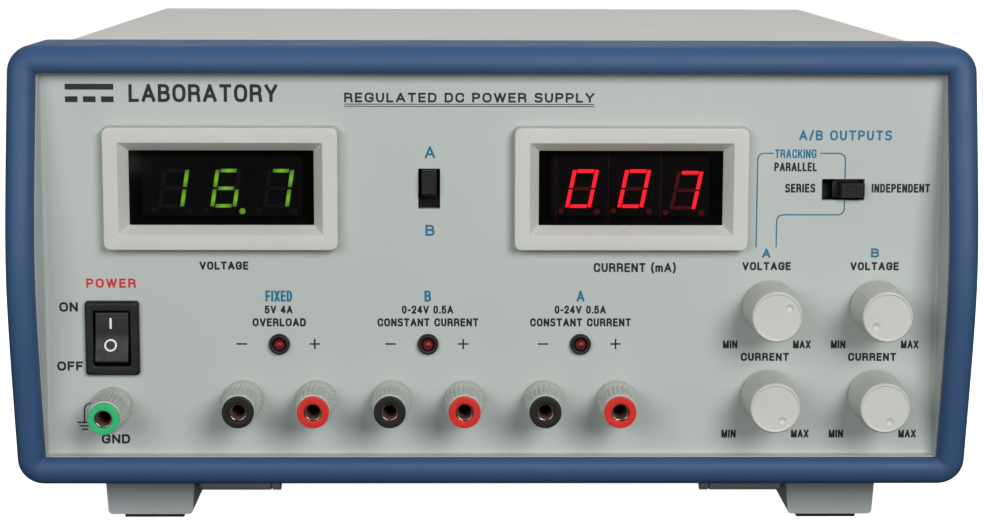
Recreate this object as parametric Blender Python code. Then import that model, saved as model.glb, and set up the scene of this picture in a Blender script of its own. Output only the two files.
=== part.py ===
"""Bench power supply: two adjustable outputs, one fixed output, two panel meters.

The object stands on four feet, faces -Y and has +Z up. Its origin is the middle of the
rectangle it stands on. Sizes are millimetres here, and place() turns them into metres.

Two helper coordinates run through the file. "y" counts backwards from the front face of the
control panel, and "z" counts upwards from the lower edge of the front frame.
"""

import math

import bmesh
import bpy

MM = 0.001

# Driving dimensions
CASE_WIDTH = 246.0
FRAME_HEIGHT = 114.0
FOOT_HEIGHT = 14.8
PANEL_TO_REAR = 270.0
KNOB_REACH = 16.5
SINK_REACH = 13.0
GAP = 0.3
SHEET = 1.2

# Places that follow from them
HALF_WIDTH = CASE_WIDTH / 2
MIDDLE_Z = FRAME_HEIGHT / 2
PANEL_Y = KNOB_REACH - (KNOB_REACH + PANEL_TO_REAR + SINK_REACH) / 2

# Front frame and control panel
FRAME_CORNER = 6.6
TIGHTEST = 0.4
FRAME_REAR = 22.0
FRAME_SHELL = 1.8
BEAD_WIDTH = 7.1
BEAD_ROUND = 3.2
LIP_DEPTH = 4.2
WALL_OUTER = BEAD_WIDTH - 1.5
TRAY_OUTER = WALL_OUTER + GAP
TRAY_INNER = BEAD_WIDTH + GAP
PANEL_THICK = 2.0
PROW_REACH = 15.9
PROW_SLOPE = 0.24
PROW_ROUND = 16.0

# Sheet-metal case
CASE_INSET = FRAME_SHELL + GAP
COVER_FRONT = 14.0
COVER_REAR = PANEL_TO_REAR + 2.0
COVER_BEND = FRAME_CORNER - CASE_INSET
CASE_HALF = HALF_WIDTH - CASE_INSET
CASE_TOP = FRAME_HEIGHT - CASE_INSET
CASE_BOTTOM = CASE_INSET
INNER_HALF = CASE_HALF - SHEET - GAP
BASE_TOP = CASE_BOTTOM + SHEET

# Panel meters
METER_X = {"voltage": -69.6, "current": 35.6}
METER_Z = 77.35
METER_HALF = (30.2, 16.0)
WINDOW_HALF = (23.7, 9.65)

# Output terminals: the middle of each pair, and half of the 19.05 mm pair spacing
OUTPUT_X = {"fixed": -55.2, "output_b": -16.65, "output_a": 22.95}
PAIR_HALF = 19.05 / 2
POST_Z = 21.75
GROUND_PLACE = (-98.8, 20.0)
LED_Z = 36.5
LED_NAMES = {"fixed": "overload_led", "output_b": "constant_current_b_led",
             "output_a": "constant_current_a_led"}

# Adjustment knobs: columns a and b, rows voltage and current
KNOB_X = {"a": 71.9, "b": 99.9}
KNOB_Z = {"voltage": 46.4, "current": 22.9}
POINTER_FROM_TOP = {"voltage_a": 54.0, "voltage_b": -132.0, "current_a": 152.0, "current_b": 162.0}

# Switches
POWER_PLACE = (-98.3, 38.2)
ROCKER_TILT = 10.0
ROCKER_PIVOT_Y = 0.3
METER_SWITCH_PLACE = (-16.3, 77.1)
METER_SWITCH_TRAVEL = 3.8
TRACKING_PLACE = (90.4, 76.95)
TRACKING_TRAVEL = 4.2

# Feet and tilt legs
FOOT_X = 91.9
FRONT_FOOT_Y = 18.2
REAR_FOOT_Y = 214.0
FOOT_DEPTH = 32.0
PAD_PROUD = 1.1
PAD_SETBACK = 1.0
PAD_INWARD = 0.9
LEG_PIVOT_Y = 27.0
LEG_PIVOT_Z = -4.7
LEG_RADIUS = 4.4
LEG_LENGTH = 46.0

# Rear panel fittings
REAR_THICK = 1.5
INLET_PLACE = (-85.0, 30.0)
FUSE_PLACE = (-85.0, 62.0)
SINK_X = 38.0
SINK_Z = 60.0

ROUND_SIDES = 16


def colour(red, green, blue):
    """Linear colour of an 8-bit display colour."""
    shares = [value / 255 for value in (red, green, blue)]
    linear = [s / 12.92 if s <= 0.04045 else ((s + 0.055) / 1.055) ** 2.4 for s in shares]
    return (*linear, 1.0)


FINISHES = {
    "frame_blue": (colour(57, 84, 121), 0.42, 0.0),
    "panel_grey": (colour(178, 186, 182), 0.5, 0.0),
    "cover_paint": (colour(195, 197, 192), 0.55, 0.0),
    "chassis_steel": (colour(160, 162, 160), 0.4, 0.9),
    "foot_grey": (colour(125, 130, 130), 0.55, 0.0),
    "rubber": (colour(24, 24, 24), 0.8, 0.0),
    "meter_ivory": (colour(191, 193, 188), 0.45, 0.0),
    "smoked_filter": (colour(26, 14, 14), 0.12, 0.0),
    "display_black": (colour(20, 18, 18), 0.3, 0.0),
    "switch_black": (colour(27, 27, 27), 0.4, 0.0),
    "knob_grey": (colour(192, 195, 188), 0.4, 0.0),
    "pot_metal": (colour(150, 150, 148), 0.35, 1.0),
    "post_metal": (colour(190, 186, 176), 0.25, 1.0),
    "cap_grey": (colour(176, 182, 175), 0.45, 0.0),
    "led_red": (colour(105, 20, 18), 0.2, 0.0),
    "core_iron": (colour(88, 84, 80), 0.5, 0.6),
    "board_green": (colour(38, 92, 58), 0.45, 0.0),
    "capacitor_sleeve": (colour(34, 40, 58), 0.35, 0.0),
    "sink_black": (colour(32, 32, 34), 0.45, 0.7),
}


def material_for(slot):
    """The material of a finish, made once."""
    if slot in bpy.data.materials:
        return bpy.data.materials[slot]
    base, roughness, metallic = FINISHES[slot]
    material = bpy.data.materials.new(slot)
    material.use_nodes = True
    shader = material.node_tree.nodes["Principled BSDF"]
    shader.inputs["Base Color"].default_value = base
    shader.inputs["Roughness"].default_value = roughness
    shader.inputs["Metallic"].default_value = metallic
    return material


# ---------------------------------------------------------------- shapes, in millimetres


def rounded_outline(half_x, half_z, radius, steps=4, side_steps=1):
    """Points (x, z) and outward normals round a rectangle with round corners."""
    centres = [(1, 1), (-1, 1), (-1, -1), (1, -1)]
    points = []
    for corner, (sign_x, sign_z) in enumerate(centres):
        for step in range(steps + 1):
            turn = math.radians(90 * (corner + step / steps))
            normal = (math.cos(turn), math.sin(turn))
            x = sign_x * (half_x - radius) + radius * normal[0]
            z = sign_z * (half_z - radius) + radius * normal[1]
            points.append((x, z, normal))
        if corner % 2:
            # The upright sides get extra points, so that the prow can bend there.
            for step in range(1, side_steps):
                share = step / side_steps
                z = sign_z * (half_z - radius) * (1 - 2 * share)
                points.append((sign_x * half_x, z, (sign_x, 0)))
    return points


def loops_solid(loops, closed_ring):
    """A solid skinned over equal-length loops of 3D points, as a ring or with flat ends."""
    shape = bmesh.new()
    rings = [[shape.verts.new(point) for point in loop] for loop in loops]
    count = len(loops[0])
    pairs = list(zip(rings, rings[1:] + rings[:1])) if closed_ring else list(zip(rings, rings[1:]))
    for first, second in pairs:
        for i in range(count):
            j = (i + 1) % count
            shape.faces.new((first[i], first[j], second[j], second[i]))
    if not closed_ring:
        shape.faces.new(rings[0])
        shape.faces.new(rings[-1])
    bmesh.ops.recalc_face_normals(shape, faces=shape.faces)
    return shape


def box(low, high):
    """A block between two opposite corners."""
    (x0, y0, z0), (x1, y1, z1) = low, high
    square = [(x0, z0), (x1, z0), (x1, z1), (x0, z1)]
    return loops_solid([[(x, y, z) for x, z in square] for y in (y0, y1)], False)


def prism(outline, start, end, along="y"):
    """An outline drawn across an axis and extruded along it."""
    order = {"x": lambda a, b, t: (t, a, b), "y": lambda a, b, t: (a, t, b),
             "z": lambda a, b, t: (a, b, t)}[along]
    return loops_solid([[order(a, b, t) for a, b in outline] for t in (start, end)], False)


def rounded_block(half_x, half_z, radius, y0, y1, centre=(0.0, 0.0)):
    """A rounded rectangle extruded from y0 to y1."""
    points = rounded_outline(half_x, half_z, radius)
    outline = [(x + centre[0], z + centre[1]) for x, z, _ in points]
    return prism(outline, y0, y1)


def turned(profile, sides=ROUND_SIDES, axis="y", centre=(0.0, 0.0)):
    """A profile of (radius, distance) points turned about an axis. It closes on itself."""
    shape = bmesh.new()
    columns = []
    for radius, along in profile:
        spots = 1 if radius == 0 else sides
        column = []
        for side in range(spots):
            turn = 2 * math.pi * side / sides
            across = centre[0] + radius * math.cos(turn)
            up = centre[1] + radius * math.sin(turn)
            spot = (across, along, up) if axis == "y" else (along, across, up)
            column.append(shape.verts.new(spot))
        columns.append(column)
    for first, second in zip(columns, columns[1:] + columns[:1]):
        if len(first) == len(second) == 1:
            continue
        for side in range(sides):
            after = (side + 1) % sides
            corners = [first[side % len(first)], first[after % len(first)],
                       second[after % len(second)], second[side % len(second)]]
            shape.faces.new(list(dict.fromkeys(corners)))
    bmesh.ops.recalc_face_normals(shape, faces=shape.faces)
    return shape


def rod(radius, start, end, centre=(0.0, 0.0), axis="y", sides=ROUND_SIDES):
    """A plain cylinder."""
    return turned([(0, start), (radius, start), (radius, end), (0, end)], sides, axis, centre)


def together(shapes):
    """Several apart shapes as one cutter."""
    merged = bmesh.new()
    for shape in shapes:
        mesh = bpy.data.meshes.new("cutter_part")
        shape.to_mesh(mesh)
        shape.free()
        merged.from_mesh(mesh)
        bpy.data.meshes.remove(mesh)
    return merged


# ---------------------------------------------------------------- objects


def place(name, shape, at):
    """An object whose origin is at (x, y, z), in the two helper coordinates."""
    bmesh.ops.scale(shape, vec=(MM, MM, MM), verts=shape.verts)
    mesh = bpy.data.meshes.new(name)
    shape.to_mesh(mesh)
    shape.free()
    item = bpy.data.objects.new(name, mesh)
    item.location = (at[0] * MM, (PANEL_Y + at[1]) * MM, (FOOT_HEIGHT + at[2]) * MM)
    bpy.context.scene.collection.objects.link(item)
    return item


def combine(item, operation, tool_name, shape, at):
    """One Boolean step with a hidden helper object."""
    tool = place(tool_name, shape, at)
    tool.hide_render = True
    tool.display_type = "WIRE"
    step = item.modifiers.new(tool_name, "BOOLEAN")
    step.operation = operation
    step.solver = "EXACT"
    step.object = tool


def piece(name, slot, shape, at=(0.0, 0.0, 0.0), add=(), cut=()):
    """A finished sub-part: a shape, with others joined to it and then cutters taken out."""
    item = place(name, shape, at)
    for number, extra in enumerate(add):
        combine(item, "UNION", f"{name}_join{number}", extra, at)
    for number, extra in enumerate(cut):
        combine(item, "DIFFERENCE", f"{name}_cut{number}", extra, at)
    item.data.materials.append(material_for(slot))
    item.data.shade_smooth()
    item.data.set_sharp_from_angle(angle=math.radians(35))
    return item


# ---------------------------------------------------------------- front frame and panel


def prow(z):
    """How far the frame's front stands before the panel at a height: a rounded shallow V."""
    off_middle = z - MIDDLE_Z
    return PROW_REACH - PROW_SLOPE * (math.hypot(off_middle, PROW_ROUND) - PROW_ROUND)


def frame_loop(inset, depth_of):
    """The frame's outline moved in by an inset, at the depth that depth_of gives for each height."""
    radius = max(FRAME_CORNER - inset, TIGHTEST)
    outline = rounded_outline(HALF_WIDTH - inset, MIDDLE_Z - inset, radius, steps=4, side_steps=10)
    return [(x, depth_of(z + MIDDLE_Z), z + MIDDLE_Z) for x, z, _ in outline]


def bead_loops():
    """The rounded front of the frame, from its outer side over to its inner lip."""
    steps = 6
    loops = []
    for step in range(steps + 1):
        turn = math.pi * step / steps
        inset = BEAD_WIDTH / 2 * (1 - math.cos(turn))
        back = BEAD_ROUND * (1 - math.sin(turn))
        loops.append(frame_loop(inset, lambda z, back=back: back - prow(z)))
    return loops


def make_front_frame():
    loops = [frame_loop(0, lambda z: FRAME_REAR)]
    loops += bead_loops()
    loops.append(frame_loop(BEAD_WIDTH, lambda z: LIP_DEPTH - prow(z)))
    loops.append(frame_loop(WALL_OUTER, lambda z: LIP_DEPTH - prow(z)))
    loops.append(frame_loop(WALL_OUTER, lambda z: -GAP))
    loops.append(frame_loop(FRAME_SHELL, lambda z: -GAP))
    loops.append(frame_loop(FRAME_SHELL, lambda z: FRAME_REAR))
    piece("front_frame", "frame_blue", loops_solid(loops, True))


def panel_cutouts():
    """Every hole in the control panel, as apart cutters."""
    front, back = -1.0, PANEL_THICK + 1.0
    holes = []
    for x in METER_X.values():
        holes.append(rounded_block(27.5, 13.0, 0.6, front, back, (x, METER_Z)))
    holes.append(rounded_block(6.6, 8.9, 0.4, front, back, POWER_PLACE))
    holes.append(rounded_block(2.82, 5.2, 0.2, front, back, METER_SWITCH_PLACE))
    holes.append(rounded_block(5.5, 2.77, 0.2, front, back, TRACKING_PLACE))
    for x in KNOB_X.values():
        for z in KNOB_Z.values():
            holes.append(rod(4.2, front, back, (x, z)))
    for x, z in [place_xz for _, place_xz in post_places()]:
        holes.append(rod(4.0, front, back, (x, z)))
    for x in OUTPUT_X.values():
        holes.append(rod(2.5, front, back, (x, LED_Z)))
    return holes


def make_front_panel():
    """A plate in a shallow tray, whose walls rise to the back of the frame's bead."""
    edge = LIP_DEPTH + GAP
    loops = [
        frame_loop(CASE_INSET, lambda z: PANEL_THICK),
        frame_loop(CASE_INSET, lambda z: 0.0),
        frame_loop(TRAY_OUTER, lambda z: 0.0),
        frame_loop(TRAY_OUTER, lambda z: edge - prow(z)),
        frame_loop(TRAY_INNER, lambda z: edge - prow(z)),
        frame_loop(TRAY_INNER, lambda z: 0.0),
    ]
    piece("front_panel", "panel_grey", loops_solid(loops, False), cut=[together(panel_cutouts())])


# ---------------------------------------------------------------- sheet-metal case


def bent_channel(half_x, bottom, top, bend, thick):
    """A sheet bent into a channel that opens downwards, as one outline."""
    def side_path(inset):
        radius = bend - inset
        corner_x = half_x - bend
        corner_z = top - bend
        path = [(half_x - inset, bottom)]
        for step in range(5):
            turn = math.radians(90 * step / 4)
            path.append((corner_x + radius * math.cos(turn), corner_z + radius * math.sin(turn)))
        return path + [(-x, z) for x, z in reversed(path)]
    return side_path(0) + side_path(thick)[::-1]


def make_top_cover():
    shell = prism(bent_channel(CASE_HALF, CASE_BOTTOM, CASE_TOP, COVER_BEND, SHEET),
                  COVER_FRONT, COVER_REAR)
    slots = []
    for side in (-1, 1):
        # The frame's round lower corners need the cover's front corners notched.
        slots.append(box((side * CASE_HALF - 4, COVER_FRONT - 1, 0.0),
                         (side * CASE_HALF + 4, FRAME_REAR + GAP, FRAME_CORNER + 1)))
        for row in range(14):
            y = 150.0 + 7.5 * row
            low = (side * CASE_HALF - 4, y - 1.6, 34.0)
            high = (side * CASE_HALF + 4, y + 1.6, 74.0)
            slots.append(box(low, high))
    piece("top_cover", "cover_paint", shell, cut=[together(slots)])


def make_chassis_base():
    """A floor with turned-up sides, and a narrower tongue that reaches in under the front frame."""
    floor = box((-INNER_HALF, FRAME_REAR + GAP, CASE_BOTTOM),
                (INNER_HALF, PANEL_TO_REAR - REAR_THICK - GAP, BASE_TOP))
    sides = [box((-108.0, PANEL_THICK + GAP, CASE_BOTTOM), (108.0, FRAME_REAR + 5.0, BASE_TOP))]
    for side in (-1, 1):
        outer, inner = side * INNER_HALF, side * (INNER_HALF - SHEET)
        sides.append(box((min(outer, inner), 30.0, CASE_BOTTOM + 0.2),
                         (max(outer, inner), PANEL_TO_REAR - REAR_THICK - GAP, 16.0)))
    slots = []
    for row in range(9):
        y = 130.0 + 9.0 * row
        slots.append(box((20.0, y - 1.8, 0.0), (70.0, y + 1.8, 5.0)))
    piece("chassis_base", "chassis_steel", floor, add=sides, cut=[together(slots)])


def make_rear_panel():
    front = PANEL_TO_REAR - REAR_THICK
    top = CASE_TOP - SHEET - GAP
    bottom = BASE_TOP + GAP
    corner = COVER_BEND - SHEET - GAP
    plate = rounded_block(INNER_HALF, (top - bottom) / 2, corner, front, PANEL_TO_REAR,
                          (0.0, (top + bottom) / 2))
    holes = [
        rounded_block(14.0, 10.4, 1.0, front - 1, PANEL_TO_REAR + 1, INLET_PLACE),
        rod(6.4, front - 1, PANEL_TO_REAR + 1, FUSE_PLACE),
    ]
    piece("rear_panel", "chassis_steel", plate, cut=[together(holes)])


# ---------------------------------------------------------------- feet and tilt legs


def foot_outline(centre_x):
    """A foot seen from the front: drafted sides and rounded lower corners."""
    top, bottom = -GAP, PAD_PROUD - FOOT_HEIGHT
    half_top, half_bottom, corner = 12.2, 11.4, 1.0
    right = [(half_top, top), (half_bottom, bottom + corner)]
    for step in (1, 2):
        turn = math.radians(45 * step)
        right.append((half_bottom - corner * (1 - math.cos(turn)),
                      bottom + corner * (1 - math.sin(turn))))
    left = [(-x, z) for x, z in reversed(right)]
    return [(x + centre_x, z) for x, z in right + left]


def round_end(radius, first_angle, last_angle, steps):
    """Points on an arc about the origin, angles in degrees."""
    angles = [first_angle + (last_angle - first_angle) * i / steps for i in range(steps + 1)]
    return [(radius * math.cos(math.radians(a)), radius * math.sin(math.radians(a)))
            for a in angles]


def make_foot(name, side, start_y, has_leg):
    """A moulded foot with a pocket for its pad, and a bracket for the tilt leg at the front."""
    centre_x = side * FOOT_X
    block = prism(foot_outline(centre_x), start_y, start_y + FOOT_DEPTH)
    bottom = PAD_PROUD - FOOT_HEIGHT
    pad_x = centre_x - side * PAD_INWARD
    inset = PAD_SETBACK - GAP
    cuts = [box((pad_x - 8.3, start_y + inset, bottom - 1),
                (pad_x + 8.3, start_y + FOOT_DEPTH - inset, bottom + 1.3))]
    # The foot reaches forwards under the front frame, and meets the case behind it.
    top = CASE_BOTTOM - GAP
    seat_front = max(start_y, FRAME_REAR + 0.5)
    joins = [box((centre_x - 12.0, seat_front, -1.0), (centre_x + 12.0, start_y + FOOT_DEPTH, top))]
    if has_leg:
        plate_under = LEG_PIVOT_Z + LEG_RADIUS + GAP
        ear_out, ear_in = side * 57.3, side * 59.5
        reach = side * 82.0
        joins.append(box((min(ear_out, reach), LEG_PIVOT_Y - LEG_RADIUS, plate_under),
                         (max(ear_out, reach), start_y + FOOT_DEPTH - 1.5, top)))
        ear = [(y + LEG_PIVOT_Y, z + LEG_PIVOT_Z)
               for y, z in round_end(LEG_RADIUS, -180, 0, 8)]
        ear += [(LEG_PIVOT_Y + LEG_RADIUS, top - 0.4), (LEG_PIVOT_Y - LEG_RADIUS, top - 0.4)]
        joins.append(prism(ear, min(ear_out, ear_in), max(ear_out, ear_in), along="x"))
        ends = sorted((side * 56.0, side * 82.4))
        cuts.append(rod(2.25, ends[0], ends[1], (LEG_PIVOT_Y, LEG_PIVOT_Z), "x", 16))
    piece(name, "foot_grey", block, add=joins, cut=cuts)


def make_pad(name, side, start_y):
    centre_x = side * (FOOT_X - PAD_INWARD)
    bottom = -FOOT_HEIGHT
    pad = box((centre_x - 8.0, start_y + PAD_SETBACK, bottom),
              (centre_x + 8.0, start_y + FOOT_DEPTH - PAD_SETBACK, bottom + PAD_PROUD + 1.0))
    piece(name, "rubber", pad)


def make_tilt_leg(name, side):
    """A leg that lies folded back against the case and swings down about its front pin."""
    outline = round_end(LEG_RADIUS, 40, 270, 10)
    outline += [(LEG_LENGTH - 3, -LEG_RADIUS + 0.6), (LEG_LENGTH, -LEG_RADIUS + 2.2),
                (LEG_LENGTH, -0.8), (LEG_LENGTH - 1.2, 0.4), (8.0, 1.0)]
    ends = sorted((side * 59.8, side * 79.2))
    pin_ends = sorted((side * 57.5, side * 82.1))
    pin = rod(2.0, pin_ends[0], pin_ends[1], (0.0, 0.0), "x", 16)
    piece(name, "foot_grey", prism(outline, ends[0], ends[1], along="x"),
          at=(0.0, LEG_PIVOT_Y, LEG_PIVOT_Z), add=[pin])


# ---------------------------------------------------------------- panel meters


def rectangle_loop(half_x, half_z, radius, y, centre_x):
    points = rounded_outline(half_x, half_z, radius)
    return [(x + centre_x, y, z + METER_Z) for x, z, _ in points]


def make_meter(quantity):
    """Bezel with a sleeve through the panel, filter window, and digits on their board."""
    x = METER_X[quantity]
    half_x, half_z = METER_HALF
    window_x, window_z = WINDOW_HALF
    sections = [
        (half_x, half_z, 1.6, -GAP),
        (half_x - 0.3, half_z - 0.3, 1.6, -3.6),
        (half_x - 0.7, half_z - 0.7, 1.4, -4.0),
        (half_x - 3.8, half_z - 3.8, 0.8, -4.0),
        (window_x, window_z, 0.3, -0.6),
        (window_x, window_z, 0.3, -0.2),
        (window_x + 1.5, window_z + 1.5, 0.3, -0.2),
        (window_x + 1.5, window_z + 1.5, 0.3, 7.0),
        (27.2, 12.7, 0.5, 7.0),
        (27.2, 12.7, 0.5, -GAP),
    ]
    loops = [rectangle_loop(a, b, r, y, x) for a, b, r, y in sections]
    piece(f"{quantity}_meter_bezel", "meter_ivory", loops_solid(loops, True))
    piece(f"{quantity}_meter_window", "smoked_filter",
          rounded_block(window_x + 1.2, window_z + 1.2, 0.3, 0.1, 1.6, (x, METER_Z)))
    board = box((x - 27.0, 7.3, METER_Z - 12.5), (x + 27.0, 8.9, METER_Z + 12.5))
    digits = box((x - 20.5, 1.9, METER_Z - 7.6), (x + 20.5, 8.0, METER_Z + 7.6))
    piece(f"{quantity}_display", "display_black", board, add=[digits])


# ---------------------------------------------------------------- switches


def make_power_switch():
    x, z = POWER_PLACE
    flange = rounded_block(7.05, 9.8, 0.8, -2.0, -GAP)
    body = rounded_block(6.3, 8.6, 0.4, -0.5, 18.0)
    blades = [box((-3.1, 17.0, height), (3.1, 27.0, height + 0.8)) for height in (-4.5, 3.7)]
    recess = [
        rounded_block(4.6, 7.1, 0.3, -3.0, 8.5),
        rod(1.45, -5.8, 5.8, (ROCKER_PIVOT_Y, 0.0), "x", 12),
    ]
    piece("power_switch_body", "switch_black", flange, at=(x, 0.0, z), add=[body, *blades],
          cut=recess)
    level = [(-2.9, 6.5), (-2.1, 0.0), (-2.9, -6.5), (0.8, -6.5), (5.0, -3.0), (5.0, 3.0), (0.8, 6.5)]
    tilt = math.radians(-ROCKER_TILT)
    outline = [(y * math.cos(tilt) - h * math.sin(tilt), y * math.sin(tilt) + h * math.cos(tilt))
               for y, h in level]
    piece("power_rocker", "switch_black", prism(outline, -4.35, 4.35, along="x"),
          at=(x, ROCKER_PIVOT_Y, z), add=[rod(1.2, -5.5, 5.5, (0.0, 0.0), "x", 12)])


def make_slide_switch(name, at, upright, travel):
    """A switch behind the panel whose small nub shows through a slot. It rests at one end."""
    def turned_box(half_along, half_across, y0, y1, shift=0.0):
        low, high = shift - half_along, shift + half_along
        if upright:
            return box((-half_across, y0, low), (half_across, y1, high))
        return box((low, y0, -half_across), (high, y1, half_across))

    piece(f"{name}_body", "switch_black", turned_box(9.8, 4.2, PANEL_THICK + GAP, 10.0),
          at=(at[0], 0.0, at[1]), cut=[turned_box(7.0, 2.8, 1.0, 7.0)])
    rest = travel / 2
    foot = turned_box(4.4, 2.5, 3.2, 6.4, rest)
    nub = turned_box(3.05, 1.75, -3.0, 4.0, rest)
    piece(f"{name}_slider", "switch_black", foot, at=(at[0], 0.0, at[1]), add=[nub])


# ---------------------------------------------------------------- knobs and potentiometers


def make_knob(row, column):
    """A knob on its shaft, and the potentiometer that the shaft turns in."""
    name = f"{row}_{column}"
    at = (KNOB_X[column], 0.0, KNOB_Z[row])
    knob = turned([
        (0, -KNOB_REACH + 0.25), (5.7, -KNOB_REACH + 0.25), (5.8, -KNOB_REACH), (6.2, -KNOB_REACH),
        (6.5, -KNOB_REACH + 0.5), (7.0, -1.0), (7.0, -0.6), (5.9, -0.6), (5.9, -5.0),
        (3.0, -5.0), (3.0, 8.0), (0, 8.0),
    ], 24)
    pointer = math.radians(90 - POINTER_FROM_TOP[name])
    dimple = turned([(0, -KNOB_REACH + 0.9), (0.9, -KNOB_REACH), (0.9, -KNOB_REACH - 1),
                     (0, -KNOB_REACH - 1)], 8, "y",
                    (3.9 * math.cos(pointer), 3.9 * math.sin(pointer)))
    piece(f"{name}_knob", "knob_grey", knob, at=at, cut=[dimple])
    body = turned([
        (3.25, -4.2), (3.9, -4.2), (3.9, -2.6), (5.4, -2.6), (5.4, -GAP), (3.9, -GAP),
        (3.9, PANEL_THICK + GAP), (8.3, PANEL_THICK + GAP), (8.3, 12.0), (0, 12.0), (0, 8.4),
        (3.25, 8.4),
    ])
    piece(f"{name}_potentiometer", "pot_metal", body, at=at)


# ---------------------------------------------------------------- terminals and indicators


def post_places():
    """Each terminal's name and place on the panel."""
    places = [("ground", GROUND_PLACE)]
    for output, x in OUTPUT_X.items():
        places.append((f"{output}_negative", (x - PAIR_HALF, POST_Z)))
        places.append((f"{output}_positive", (x + PAIR_HALF, POST_Z)))
    return places


def make_terminal(name, spot):
    """A socket stud through the panel, and the screw cap on it."""
    at = (spot[0], 0.0, spot[1])
    stud = turned([
        (0, -0.8), (2.0, -0.8), (2.0, -15.9), (2.35, -15.9), (2.35, -3.0), (5.2, -3.0),
        (5.2, -GAP), (3.7, -GAP), (3.7, PANEL_THICK + GAP), (5.4, PANEL_THICK + GAP),
        (5.4, 5.0), (2.0, 5.0), (2.0, 13.0), (0, 13.0),
    ], 14)
    piece(f"{name}_socket", "post_metal", stud, at=at)
    cap = turned([
        (2.65, -3.3), (4.95, -3.3), (5.1, -3.8), (4.6, -14.0), (4.1, -14.6), (4.05, -16.2),
        (2.65, -16.2),
    ], 18)
    piece(f"{name}_cap", "cap_grey", cap, at=at)


def make_indicator(output):
    """A 3 mm lamp in its clip."""
    lamp = turned([
        (0, -2.6), (0.8, -2.45), (1.3, -2.0), (1.5, -1.4), (1.5, -0.9), (2.1, -0.9), (2.2, -1.3),
        (2.6, -1.2), (2.7, -GAP), (2.2, -GAP), (2.2, 7.0), (0, 7.0),
    ], 12)
    piece(LED_NAMES[output], "led_red", lamp, at=(OUTPUT_X[output], 0.0, LED_Z))


# ---------------------------------------------------------------- inside and rear


def make_transformer():
    """Laminated core standing on two flanges, with the winding through it."""
    core = box((-78.0, 160.0, BASE_TOP + GAP), (2.0, 190.0, 73.0))
    winding = box((-64.0, 148.0, 17.0), (-12.0, 202.0, 60.0))
    flanges = box((-92.0, 162.0, BASE_TOP + GAP), (16.0, 188.0, 7.0))
    piece("transformer", "core_iron", core, add=[winding, flanges])


def make_main_board():
    """The regulator board on four spacers."""
    board = box((22.0, 60.0, 12.0), (112.0, 220.0, 13.6))
    spacers = [rod(3.0, BASE_TOP + GAP, 12.5, (x, y), "x", 12)
               for x in (28.0, 106.0) for y in (66.0, 214.0)]
    upright = []
    for spacer in spacers:
        # The rods are turned about X, so their length has to be stood up along Z.
        for vertex in spacer.verts:
            length, across, up = vertex.co
            vertex.co = (across, up, length)
        bmesh.ops.recalc_face_normals(spacer, faces=spacer.faces)
        upright.append(spacer)
    piece("main_circuit_board", "board_green", board, add=upright)


def make_capacitor(name, x, y):
    """A large can standing on the board."""
    low = 13.6 + GAP
    can = turned([(0, 0.0), (14.5, 0.0), (15.0, 0.6), (15.0, 1.8), (14.2, 2.6), (15.0, 3.4),
                  (15.0, 49.0), (14.2, 50.0), (0, 50.0)])
    for vertex in can.verts:
        across, length, up = vertex.co
        vertex.co = (across, up, length)
    bmesh.ops.recalc_face_normals(can, faces=can.faces)
    piece(name, "capacitor_sleeve", can, at=(x, y, low))


def make_heat_sink():
    """A plate with upright fins on the outside of the rear panel."""
    half, fins, base = 66.0, 15, 4.0
    pitch = (2 * half - 1.8) / (fins - 1)
    root, tip = PANEL_TO_REAR + GAP, PANEL_TO_REAR + SINK_REACH
    outline = [(SINK_X - half, root)]
    for fin in range(fins):
        left = SINK_X - half + fin * pitch
        outline += [(left, root + base), (left + 0.2, tip), (left + 1.6, tip), (left + 1.8, root + base)]
    outline[1:2] = []
    outline[-1:] = []
    outline.append((SINK_X + half, root))
    piece("heat_sink", "sink_black", prism(outline, SINK_Z - 38.0, SINK_Z + 38.0, along="z"))


def make_power_inlet():
    """A three-pin mains inlet with a screw flange."""
    x, z = INLET_PLACE
    y = PANEL_TO_REAR
    flange = rounded_block(25.0, 11.5, 3.0, y + GAP, y + 3.0)
    body = rounded_block(13.6, 10.0, 0.8, y - 16.0, y + 1.0)
    shroud = [(-12.0, -8.0), (12.0, -8.0), (12.0, 4.5), (8.5, 8.0), (-8.5, 8.0), (-12.0, 4.5)]
    recess = prism(shroud, y - 13.0, y + 4.0)
    screw_holes = [rod(1.7, y - 0.5, y + 4.0, (side * 20.0, 0.0), sides=12) for side in (-1, 1)]
    pins = [box((px - 1.0, y - 14.0, pz - 2.0), (px + 1.0, y - 3.0, pz + 2.0))
            for px, pz in ((-7.0, -2.0), (0.0, 2.0), (7.0, -2.0))]
    blades = [box((px - 2.4, y - 24.0, pz - 0.4), (px + 2.4, y - 15.0, pz + 0.4))
              for px, pz in ((-7.0, -2.0), (0.0, 3.0), (7.0, -2.0))]
    inlet = piece("power_inlet", "switch_black", flange, at=(x, 0.0, z), add=[body],
                  cut=[recess, *screw_holes])
    for number, extra in enumerate(pins + blades):
        combine(inlet, "UNION", f"power_inlet_pin{number}", extra, (x, 0.0, z))


def make_fuse():
    x, z = FUSE_PLACE
    y = PANEL_TO_REAR
    holder = turned([(5.2, y - 24.0), (6.1, y - 24.0), (6.1, y + GAP), (8.0, y + GAP),
                     (8.0, y + 2.0), (7.4, y + 2.6), (5.2, y + 2.6)])
    piece("fuse_holder", "switch_black", holder, at=(x, 0.0, z))
    cap = turned([(0, y - 22.0), (3.4, y - 22.0), (3.4, y - 2.0), (4.9, y - 2.0), (4.9, y + 2.9),
                  (6.6, y + 2.9), (6.6, y + 9.0), (6.0, y + 9.8), (0, y + 9.8)])
    slot = box((-5.0, y + 8.6, -0.7), (5.0, y + 11.0, 0.7))
    piece("fuse_cap", "switch_black", cap, at=(x, 0.0, z), cut=[slot])


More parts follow.
